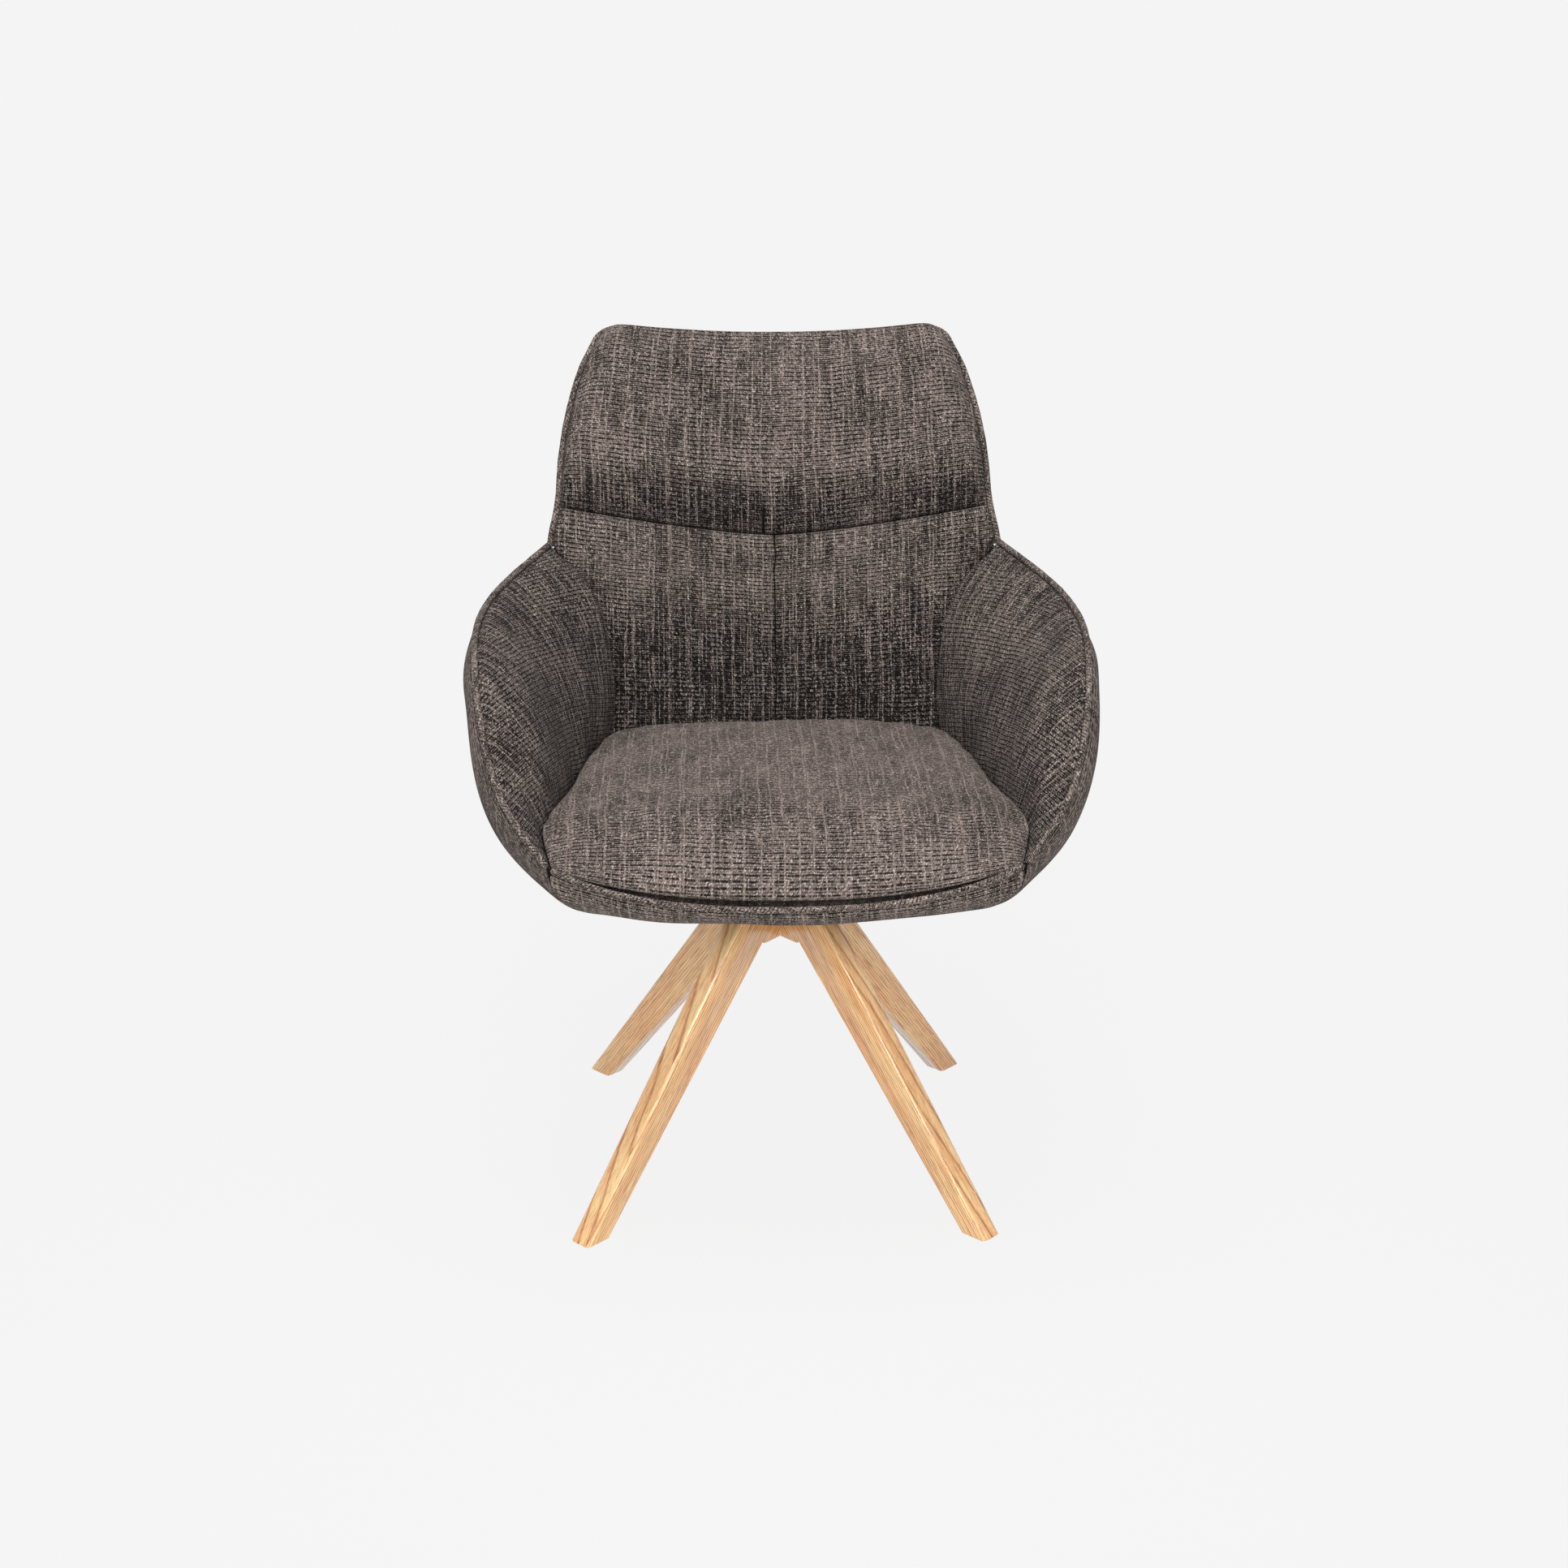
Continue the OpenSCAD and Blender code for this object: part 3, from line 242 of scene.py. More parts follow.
def armPoint(j, q):
    j, q = np.broadcast_arrays(np.asarray(j, float), np.asarray(q, float))
    top, foot = spline(armRim, j), spline(armFoot, j)
    back = backPoint(1.0, mix(padLow, neckHeight, q))
    front = mix(np.array(armFoot[-1]), np.array(armRim[-1]), q[..., None])
    neckSide = mix(np.array(armFoot[0]), np.array(neckPoint), q[..., None])
    j, q = j[..., None], q[..., None]
    return mix(foot, top, q) + (1 - j) * back + j * front - ((1 - j) * neckSide + j * front)


def normalOf(surface, u, v, e):
    # the direction straight out of a surface, from points a little to each side
    along = surface(np.minimum(u + e, 1), v) - surface(np.maximum(u - e, 0), v)
    up = surface(u, np.minimum(v + e, 1)) - surface(u, np.maximum(v - e, 0))
    return unit(np.cross(along, up))


def armNormal(j, q):
    return normalOf(armPoint, j, q, 0.02)


def armOutward(j):
    j = np.asarray(j, float)
    d = spline(armRim, np.minimum(j + 0.03, 1)) - spline(armRim, np.maximum(j - 0.03, 0))
    return unit(xyz(-d[..., 1], d[..., 0], 0))


def frontRim(a):
    height = mix(shell["frontHeight"], cornerHeight, np.abs(a) ** 3)
    return xyz(a * cornerHalf, -mix(shell["frontReach"], cornerReach, a * a), height)


# The line where the covers turn in under the seat
bottomEdge = [
    [0.146, 0.134, coverLow],
    [0.188, 0.040, coverLow],
    [0.194, -0.060, coverLow],
    [0.192, -0.150, coverLow],
    [0.172, 0.048 - cornerReach, coverLow],
]
# How far the covers bulge at their foot and at their top, and where the top bulge lies below the rim,
# from the neck to the front corner
lowReaches = [0.058, 0.077, 0.081, 0.066, 0.040]
topReaches = [shell["armSwell"] + more for more in (-0.006, 0.003, 0.003, -0.012, -0.030)]
topDrops = [0.060, 0.038, 0.030, 0.034, 0.020]
# The same at the middle of the front and of the rear
frontMiddle = {"lowReach": 0.044, "topReach": 0.004, "drop": 0.012, "turnIn": 0.064}
rearMiddle = {"lowReach": 0.062, "topReach": -0.026, "drop": 0.090, "bow": 0.018}
# The rear cover's lower part, up to the neck, as a share of the whole, and the rolls of its upper part
neckShare = 0.55
rearRolls = {"side": 0.060, "top": 0.034, "edgeStep": 0.0036, "edgeReach": 0.045}


def endOutward(a, end, straight):
    side = armOutward(end)
    turned = xyz(np.sign(a) * side[0], side[1], 0)
    return unit(mix(np.array(straight), turned, (a * a)[..., None]))


def frontOutward(a):
    return endOutward(a, 1.0, (0.0, -1.0, 0.0))


def rearOutward(a):
    return endOutward(a, 0.0, (0.0, 1.0, 0.0))


def frontBottom(a):
    middle = frontMiddle["turnIn"] - shell["frontReach"]
    return xyz(a * bottomEdge[-1][0], mix(middle, bottomEdge[-1][1], a * a), coverLow)


def rearBottom(a):
    middle = rearMiddle["bow"] + bottomEdge[0][1]
    return xyz(a * bottomEdge[0][0], mix(middle, bottomEdge[0][1], a * a), coverLow)


def coverSection(bottom, top, outward, lowReach, topReach, drop, q):
    low = bottom + np.asarray(lowReach)[..., None] * outward
    high = top + np.asarray(topReach)[..., None] * outward - xyz(0, 0, drop)
    return bezier(bottom, low, high, top, q)


def coverEdge(p, n):
    return p - (sewnEdge + 4 * faceGap) * n


def sideCoverPoint(j, q):
    j, q = np.broadcast_arrays(np.asarray(j, float), np.asarray(q, float))
    top = coverEdge(spline(armRim, j), armNormal(j, np.ones_like(j)))
    reaches = spline(lowReaches, j), spline(topReaches, j), spline(topDrops, j)
    return coverSection(spline(bottomEdge, j), top, armOutward(j), *reaches, q)


def frontCoverPoint(a, q):
    a, q = np.broadcast_arrays(np.asarray(a, float), np.asarray(q, float))
    n = armNormal(np.ones_like(a), np.ones_like(a))
    n = n * xyz(np.where(a < 0, -1, 1), 1, 1)
    flat, turned = coverEdge(frontRim(a), np.array([0, 0, 1.0])), coverEdge(frontRim(a), n)
    top = mix(flat, turned, (a * a)[..., None])
    low = mix(frontMiddle["lowReach"], lowReaches[-1], a * a)
    high = mix(frontMiddle["topReach"], topReaches[-1], a * a)
    drop = mix(frontMiddle["drop"], topDrops[-1], a * a)
    return coverSection(frontBottom(a), top, frontOutward(a), low, high, drop, q)


def edgeStep(fromTop):
    rolled = np.maximum(0, 1 - fromTop / rearRolls["edgeReach"])
    return sewnEdge + 2 * faceGap + rearRolls["edgeStep"] * rolled


def rearHighPoint(a, z):
    fromTop, fromSide = topEdge(a) - z, (1 - np.abs(a)) * backHalf(z)
    swell = shell["rearSwell"] * roll(fromSide, rearRolls["side"]) * roll(fromTop, rearRolls["top"])
    edge = backNormal(z, fromTop) * edgeStep(fromTop)[..., None]
    return backPoint(a, z) - edge - backNormal(z, 1.0) * swell[..., None]


def rearCoverPoint(a, h):
    a, h = np.broadcast_arrays(np.asarray(a, float), np.asarray(h, float))
    high = rearHighPoint(a, mix(neckHeight, topEdge(a), np.clip((h - neckShare) / (1 - neckShare), 0, 1)))
    side = sideCoverPoint(0.0, 1.0) * xyz(np.where(a < 0, -1, 1), 1, 1)
    neck = mix(rearHighPoint(a, np.full_like(a, neckHeight)), side, (np.abs(a) ** 6)[..., None])
    low = coverSection(
        rearBottom(a), neck, rearOutward(a),
        mix(rearMiddle["lowReach"], lowReaches[0], a * a),
        mix(rearMiddle["topReach"], topReaches[0], np.abs(a) ** 3),
        mix(rearMiddle["drop"], topDrops[0], a * a), np.clip(h / neckShare, 0, 1),
    )
    return np.where((h >= neckShare)[..., None], high, low)


print("outline of the shell ready")


# Modelling steps that the pieces share
def readPoints(piece):
    points = np.empty(len(piece.data.vertices) * 3)
    piece.data.vertices.foreach_get("co", points)
    return points.reshape(-1, 3)


def writePoints(piece, points):
    piece.data.vertices.foreach_set("co", np.ascontiguousarray(points, float).ravel())
    piece.data.update()


def selectOnly(piece):
    bpy.ops.object.select_all(action="DESELECT")
    piece.select_set(True)
    bpy.context.view_layer.objects.active = piece


def applyModifier(piece, kind, **settings):
    selectOnly(piece)
    modifier = piece.modifiers.new(kind.lower(), kind)
    for name, value in settings.items():
        setattr(modifier, name, value)
    bpy.ops.object.modifier_apply(modifier=modifier.name)


@contextmanager
def editing(piece):
    # the whole mesh is selected in edit mode
    selectOnly(piece)
    bpy.ops.object.mode_set(mode="EDIT")
    bpy.ops.mesh.select_all(action="SELECT")
    yield
    bpy.ops.object.mode_set(mode="OBJECT")


def cleanFaces(piece, merge=0.00002):
    # seams and poles are closed first, and then all faces are turned outwards
    with editing(piece):
        bpy.ops.mesh.remove_doubles(threshold=merge)
        bpy.ops.mesh.normals_make_consistent(inside=False)


def flatten(piece, degrees):
    # facets of one flat face become one
    with editing(piece):
        bpy.ops.mesh.dissolve_limited(angle_limit=math.radians(degrees))


def joinPieces(parts):
    bpy.ops.object.select_all(action="DESELECT")
    for part in parts:
        part.select_set(True)
    bpy.context.view_layer.objects.active = parts[0]
    bpy.ops.object.join()
    return parts[0]


def smoothSkin(piece, levels=1):
    if levels:
        applyModifier(piece, "SUBSURF", levels=levels, render_levels=levels)
    selectOnly(piece)
    bpy.ops.object.shade_smooth()


def writeWeave(piece, across, along):
    # the cloth's own directions in metres: across follows the ribs, along counts them
    layer = piece.data.uv_layers.new(name="weave")
    corner = np.empty(len(piece.data.loops), int)
    piece.data.loops.foreach_get("vertex_index", corner)
    layer.data.foreach_set("uv", np.stack([across[corner], along[corner]], -1).ravel())
    for other in [u for u in piece.data.uv_layers if u.name != "weave"]:
        piece.data.uv_layers.remove(other)


def sewnGrid(name, columns, rows, layers, place, weave):
    # a grid in u and v, thickened by whole layers, whose points a rule puts in place
    bpy.ops.object.select_all(action="DESELECT")
    bpy.ops.mesh.primitive_grid_add(x_subdivisions=columns, y_subdivisions=rows, size=1)
    piece = bpy.context.object
    piece.name = piece.data.name = name
    with editing(piece):
        for layer in range(layers):
            bpy.ops.mesh.extrude_region_move(TRANSFORM_OT_translate={"value": (0, 0, -1)})
    start = readPoints(piece)
    u, v = np.clip(start[:, 0] + 0.5, 0, 1), np.clip(start[:, 1] + 0.5, 0, 1)
    layer = np.rint(-start[:, 2])
    points = place(u, v, layer)
    across, along = weave(u, v, points, layer)
    writeWeave(piece, across, along)
    writePoints(piece, points)
    cleanFaces(piece)
    return piece


def lengthUp(surface, steps=40):
    # the mean length of a surface from its foot, as a function of v
    s = np.linspace(0, 1, steps + 1)
    u, v = np.meshgrid(s, s)
    grid = surface(u.ravel(), v.ravel()).reshape(steps + 1, steps + 1, 3)
    lengths = np.append(0, np.linalg.norm(np.diff(grid, axis=0), axis=2).mean(1).cumsum())
    return lambda part: np.interp(part, s, lengths)


def surfaceNormal(surface, u, v, middle):
    n = normalOf(surface, u, v, 0.006)
    outward = ((surface(u, v) - np.array(middle)) * n).sum(-1)
    return n * np.where(outward < 0, -1, 1)[:, None]


cloth = {"mass": 0.3, "tension": 14, "bending": 0.4, "pressure": 4.0, "frames": 20}


def puffUp(piece, free, growth, cap):
    # the cover swells over its stuffing, no point further than cap, and its sewn edges stay where they are
    before = readPoints(piece)
    held = piece.vertex_groups.new(name="held")
    held.add([int(i) for i in np.flatnonzero(~free(before))], 1.0, "REPLACE")
    selectOnly(piece)
    modifier = piece.modifiers.new("cloth", "CLOTH")
    settings = modifier.settings
    settings.mass = cloth["mass"]
    settings.tension_stiffness = settings.compression_stiffness = cloth["tension"]
    settings.bending_stiffness = cloth["bending"]
    settings.vertex_group_mass = "held"
    settings.use_pressure = True
    settings.uniform_pressure_force = cloth["pressure"]
    settings.shrink_min = -growth
    settings.effector_weights.gravity = 0
    modifier.point_cache.frame_start, modifier.point_cache.frame_end = 1, cloth["frames"]
    for step in range(1, cloth["frames"] + 1):
        scene.frame_set(step)
    bpy.ops.object.modifier_apply(modifier=modifier.name)
    scene.frame_set(1)
    moved = readPoints(piece) - before
    length = np.linalg.norm(moved, axis=1, keepdims=True)
    moved = moved * np.minimum(1, cap / np.maximum(length, 1e-9))
    writePoints(piece, before + moved)
    piece.vertex_groups.clear()


def mirroredSide(points, side):
    return points * np.array([side, 1, 1])


pieces = {}


def keep(piece, node, body="seat"):
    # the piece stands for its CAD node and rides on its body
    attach(piece, body)
    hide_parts(node)
    pieces[node] = piece
    return piece


# Upper back pad, which bulges over the cross seam
upperPad = {
    "columns": 84, "rows": 40, "crown": 0.024,
    "sideRoll": 0.034, "topRoll": 0.030, "lowRoll": 0.058,
    "seamSwell": 0.004, "dartShift": -0.012, "dartLength": 0.050, "dartDepth": 0.0130, "dartWide": 0.0018,
    "dartOpen": 0.003, "gather": 0.90, "gatherReach": 0.12,
    "lumps": (0.085, 0.0045, 3.3), "lumpsReach": 0.04, "seamPuckers": 0.0013, "sidePuckers": 0.0005,
    "rim": 0.034, "followSides": 0.35, "sidesWide": 0.93, "cut": 0.31,
    "heldFoot": 0.004, "heldDepth": 0.010, "growth": 0.012, "cap": 0.004,
}


def upperAcross(u):
    # the columns lie closer together round the dart
    a, dart = mix(-1.0, 1.0, eased(u)), upperPad["dartShift"] / neckHalf
    return dart + (a - dart) * (1 - upperPad["gather"] * np.exp(-((a - dart) / upperPad["gatherReach"]) ** 2))


def upperBackSkin(u, v):
    a = upperAcross(u)
    low, high = crossEdge(a) + shell["seamGap"], topEdge(a)
    z = mix(low, high, eased(v))
    p, n = backPoint(a, z), backNormal(z, high - z)
    half = backHalf(z)
    sides = roll((1 - np.abs(a)) * half, upperPad["sideRoll"])
    lowEnd, topEnd = roll(z - low, upperPad["lowRoll"]), roll(high - z, upperPad["topRoll"])
    rise = mix(upperPad["seamSwell"], upperPad["crown"], lowEnd) * sides * topEnd
    dart = np.exp(-(np.abs(a * half - upperPad["dartShift"]) / upperPad["dartWide"]) ** 4)
    dart = dart * np.clip(1 - (z - low) / upperPad["dartLength"], 0, 1) ** 0.7
    rise = rise - upperPad["dartDepth"] * dart * roll(z - low, upperPad["dartOpen"])
    edge = np.minimum(np.minimum((1 - np.abs(a)) * half, high - z), z - low)
    rise = rise + lumps(p, *upperPad["lumps"]) * np.clip(edge / upperPad["lumpsReach"], 0, 1)
    rise = rise + puckers(a * half, z - low, 4.0, height=upperPad["seamPuckers"])
    rise = rise + puckers(z, (1 - np.abs(a)) * half, 6.0, height=upperPad["sidePuckers"])
    return p, n, rise, z


def makeUpperBackPad():
    def place(u, v, layer):
        p, n, rise, z = upperBackSkin(u, v)
        a = upperAcross(u)
        rim = ease((1 - np.abs(a)) * 0.22, upperPad["rim"]) * ease(topEdge(a) - z, upperPad["rim"])
        depth = mix(sewnEdge, shell["padDepth"], rim)
        return p + n * np.where(layer == 0, rise, -depth)[:, None]

    up = lengthUp(lambda u, v: place(u, v, u * 0))

    def weave(u, v, points, layer):
        # the threads across the ribs lean with the pad's sides a little
        sides = upperAcross(u) * neckHalf * upperPad["sidesWide"]
        across = mix(points[:, 0], sides, upperPad["followSides"])
        return across + upperPad["cut"], up(v)

    piece = sewnGrid("upper_back_pad_cloth", upperPad["columns"], upperPad["rows"], 1, place, weave)
    inner = boxLow("upper_back_pad").z + upperPad["heldFoot"]

    def free(points):
        depth = backDepth(points[:, 2]) - shell["backDish"] * (points[:, 0] / backHalf(points[:, 2])) ** 2
        return (points[:, 1] < depth - upperPad["heldDepth"]) & (points[:, 2] > inner)

    puffUp(piece, free, upperPad["growth"], upperPad["cap"])
    smoothSkin(piece)
    return keep(piece, "upper_back_pad")


makeUpperBackPad()

# Lower back pads, left and right of the centre seam
lowerPad = {
    "columns": 34, "rows": 40, "crown": 0.015, "sideRoll": 0.022, "footRoll": 0.026,
    "seamShare": 0.50, "seamRoll": 0.009, "topShare": 0.25, "topRoll": 0.020,
    "seamWander": 0.0040, "wanderSize": 0.022, "wanderReach": 0.020, "wanderEnds": (0.03, 0.012),
    "sideWide": 0.200, "sideTrim": 0.00005, "seamTrim": 0.0013,
    "lumps": (0.075, 0.0035), "lumpsReach": 0.03, "topPuckers": 0.0012,
    "rim": 0.034, "rimFrom": 0.030, "cut": 0.31,
    "heldEdge": 0.008, "heldDepth": 0.009, "growth": 0.012, "cap": 0.003,
}
# Where the cloth is drawn in along the centre seam
seamPuckers = {"height": 0.0011, "length": 0.010, "reach": 0.009}


def lowerBackSkin(side, u, v):
    a = side * mix(1.0 - lowerPad["sideTrim"], lowerPad["seamTrim"], eased(u))
    low, high = np.full_like(a, padLow), crossEdge(a) - shell["seamGap"]
    z = mix(low, high, eased(v))
    p, n = backPoint(a, z), backNormal(z, 1.0)
    half = backHalf(z)
    fromSide, fromSeam = (1 - np.abs(a)) * lowerPad["sideWide"], np.abs(a) * half
    outer = roll(fromSide, lowerPad["sideRoll"])
    seam = mix(lowerPad["seamShare"], 1, roll(fromSeam, lowerPad["seamRoll"]))
    foot = roll(z - low, lowerPad["footRoll"])
    top = mix(lowerPad["topShare"], 1, roll(high - z, lowerPad["topRoll"]))
    rise = lowerPad["crown"] * outer * seam * foot * top
    edge = np.minimum(np.minimum(fromSide, high - z), fromSeam)
    rise = rise + lumps(p, *lowerPad["lumps"], 8.1 + side) * np.clip(edge / lowerPad["lumpsReach"], 0, 1)
    rise = rise + puckers(a * half, high - z, 11.0, height=lowerPad["topPuckers"])
    rise = rise + puckers(z, fromSeam, 12.0, **seamPuckers)
    # the centre seam wanders a little from side to side
    wander = lumps(xyz(0, 0, z), lowerPad["wanderSize"], lowerPad["seamWander"], 5.0)
    wander = wander * np.exp(-((fromSeam / lowerPad["wanderReach"]) ** 2))
    footEnd, topEnd = lowerPad["wanderEnds"]
    p[:, 0] += wander * roll(z - low, footEnd) * roll(high - z, topEnd)
    return p, n, rise, z, a


def makeLowerBackPad(node, side):
    def place(u, v, layer):
        p, n, rise, z, a = lowerBackSkin(side, u, v)
        inside = ease((1 - np.abs(a)) * backHalf(z), lowerPad["rim"])
        rim = np.maximum(inside, np.clip((neckHeight - z) / lowerPad["rimFrom"], 0, 1))
        depth = mix(sewnEdge, shell["padDepth"], rim)
        return p + n * np.where(layer == 0, rise, -depth)[:, None]

    up = lengthUp(lambda u, v: place(u, v, u * 0))

    def weave(u, v, points, layer):
        return points[:, 0] + lowerPad["cut"], up(v) - up(1)

    piece = sewnGrid(node + "_cloth", lowerPad["columns"], lowerPad["rows"], 1, place, weave)

    def free(points):
        a = points[:, 0] / backHalf(points[:, 2])
        depth = backDepth(points[:, 2]) - shell["backDish"] * a * a
        fromEdge = np.minimum(np.abs(points[:, 0]), crossEdge(a) - points[:, 2])
        return (points[:, 1] < depth - lowerPad["heldDepth"]) & (fromEdge > lowerPad["heldEdge"])

    puffUp(piece, free, lowerPad["growth"], lowerPad["cap"])
    smoothSkin(piece)
    return keep(piece, node)


makeLowerBackPad("lower_left_back_pad", -1)
makeLowerBackPad("lower_right_back_pad", 1)
print("back pads sewn")

# Inner arm pads, whose swell rises slowly from the seat and from the front
armPad = {
    "columns": 60, "rows": 32, "crown": 0.013, "start": 0.004, "swellEnd": 0.93, "end": 0.985,
    "rearRoll": 0.022, "frontRise": 0.150, "footRise": 0.110, "rimRoll": 0.036, "length": 0.420,
    "lumps": (0.07, 0.004), "lumpsReach": 0.035, "rim": 0.044, "clothFall": 11.0, "cut": 1.7,
    "heldRim": 0.022, "heldFoot": 0.03, "growth": 0.014, "cap": 0.003,
}


def armTall(j):
    return np.linalg.norm(armPoint(j, np.ones_like(j)) - armPoint(j, np.zeros_like(j)), axis=-1)


def armSwell(j, q):
    tall = armTall(j)
    rear = roll((j - armPad["start"]) * armPad["length"], armPad["rearRoll"])
    front = ease((armPad["swellEnd"] - j) * armPad["length"], armPad["frontRise"])
    return armPad["crown"] * rear * front * ease(q * tall, np.minimum(armPad["footRise"], 0.8 * tall))


def armSkin(j, q):
    tall = armTall(j)
    rise = armSwell(j, q) * roll((1 - q) * tall, np.minimum(armPad["rimRoll"], tall / 2))
    return armPoint(j, q), armNormal(j, q), rise, tall


def freeOfRim(points, side):
    # the points of the pad that lie away from its sewn rim and from its foot
    j = np.linspace(0, 1, 60)
    rim = mirroredSide(spline(armRim, j), side)
    near = np.min(np.linalg.norm(points[:, None, :] - rim[None], axis=2), axis=1)
    return (near > armPad["heldRim"]) & (points[:, 2] > padLow + armPad["heldFoot"])


def makeArmPad(node, side):
    def place(u, v, layer):
        j, q = mix(armPad["start"], armPad["end"], u), eased(v)
        p, n, rise, tall = armSkin(j, q)
        edge = np.minimum((1 - q) * tall, np.minimum(u, 1 - u) * armPad["length"])
        rise = rise + lumps(p, *armPad["lumps"], 15.2 + side) * np.clip(edge / armPad["lumpsReach"], 0, 1)
        rise = rise + puckers(j * 0.45, (1 - q) * tall, 16.0 + side)
        depth = mix(sewnEdge, shell["padDepth"], ease((1 - q) * tall, np.minimum(armPad["rim"], tall / 2)))
        return mirroredSide(p + n * np.where(layer == 0, rise, -depth)[:, None], side)

    def weave(u, v, points, layer):
        # the cloth lies a little turned, so that its ribs fall toward the back
        j, q = mix(armPad["start"], armPad["end"], u), eased(v)
        steps = np.linspace(0, 1, 200)
        line = armPoint(steps, np.full(200, 0.6))
        along = np.append(0, np.linalg.norm(np.diff(line, axis=0), axis=1).cumsum())
        forward, up, fall = np.interp(j, steps, along), 0, math.radians(armPad["clothFall"])
        below = armPoint(j, 0 * q)
        for part in np.linspace(0, 1, 25)[1:]:
            p, n, rise, tall = armSkin(j, q * part)
            above = p + n * rise[:, None]
            up = up + np.linalg.norm(above - below, axis=1)
            below = above
        across = forward * math.cos(fall) + up * math.sin(fall) + armPad["cut"] + side * 0.4
        return across, up * math.cos(fall) - forward * math.sin(fall)

    piece = sewnGrid(node + "_cloth", armPad["columns"], armPad["rows"], 1, place, weave)
    puffUp(piece, lambda points: freeOfRim(points, side), armPad["growth"], armPad["cap"])
    smoothSkin(piece)
    return keep(piece, node)


makeArmPad("left_arm_pad", -1)
makeArmPad("right_arm_pad", 1)
print("arm pads sewn")

# Seat cushion, crowned, with its front rolled down to the piping
seat = {
    "columns": 76, "rows": 72, "edgeHeight": 0.446, "sideLift": 0.008, "gap": 0.0012, "frontRoom": 0.0016,
    "sidePower": 2.8, "frontPower": 4.2, "fullness": 0.53,
    "rearEnd": 0.05, "frontEnd": 0.955, "backEnd": 0.92,
    "belly": 0.0112, "bellyHigh": 0.85, "bellyLow": 0.33, "crownDrop": 0.0022, "middleLevel": 0.4,
    "sideTall": 0.020, "cut": (2.9, 0.4), "edgeLift": 0.002, "dropFrom": 0.74, "dropOver": 0.19,
    "roomFrom": 0.68, "roomOver": 0.2, "armShares": (0.02, 0.82),
    "frontTrim": 0.985, "frontBack": 0.0010, "frontLift": 0.0002,
    "lumps": (0.11, 0.003, 21.0), "folds": (0.035, 0.0028, 23.0),
    "heldEdge": 0.004, "growth": 0.010, "cap": 0.003,
}


# The cushion's edge lies against the arms, the back and the front rim; its level is 0 at the foot of
# the cushion and 1 at the top edge, which comes down to the piping toward the front
def edgeHeight(j, level):
    front = ease(np.maximum(0, j - seat["dropFrom"]), seat["dropOver"])
    side = seat["sideLift"] * np.sin(math.pi * np.clip(j / seat["frontEnd"], 0, 1))
    edge = mix(seat["edgeHeight"], cornerHeight + seat["edgeLift"], front) + side
    return mix(padLow + seat["edgeLift"], edge, level)


def armFace(j, level):
    rim = spline(armRim, j)
    q = np.clip((edgeHeight(j, level) - padLow) / (rim[..., 2] - padLow), *seat["armShares"])
    room = seat["gap"] + seat["frontRoom"] * ease(np.maximum(0, j - seat["roomFrom"]), seat["roomOver"])
    return armPoint(j, q) + armNormal(j, q) * (armSwell(j, q) + room)[..., None]


def backFace(a, level):
    z = edgeHeight(np.zeros_like(a), level)
    foot = roll(z - padLow, lowerPad["footRoll"])
    side = roll((1 - np.abs(a)) * lowerPad["sideWide"], lowerPad["sideRoll"])
    swell = lowerPad["crown"] * foot * side
    return backPoint(a, z) + backNormal(z, 1.0) * (swell + seat["gap"])[..., None]


def frontEdge(a, level):
    p = frontRim(a)
    lift = mix(faceGap - sewnEdge, seat["frontLift"], level)
    return xyz(p[..., 0] * seat["frontTrim"], p[..., 1] + seat["frontBack"], p[..., 2] + lift)


def seatOutline(u, v, level):
    # the four edges of the cushion, filled in between
    sideJ = mix(seat["rearEnd"], seat["frontEnd"], v)
    left, right = mirroredSide(armFace(sideJ, level), -1), armFace(sideJ, level)
    rear = backFace(mix(-seat["backEnd"], seat["backEnd"], u), level)
    front = frontEdge(mix(-seat["frontEnd"], seat["frontEnd"], u), level)
    one, level0 = np.ones(1), level[:1]
    rearRight = 0.5 * (armFace(one * seat["rearEnd"], level0) + backFace(one * seat["backEnd"], level0))
    frontRight = 0.5 * (armFace(one * seat["frontEnd"], level0) + frontEdge(one * seat["frontEnd"], level0))
    u3, v3 = u[:, None], v[:, None]
    corners = (1 - v3) * mix(mirroredSide(rearRight, -1), rearRight, u3)
    corners = corners + v3 * mix(mirroredSide(frontRight, -1), frontRight, u3)
    return (1 - v3) * rear + v3 * front + (1 - u3) * left + u3 * right - corners


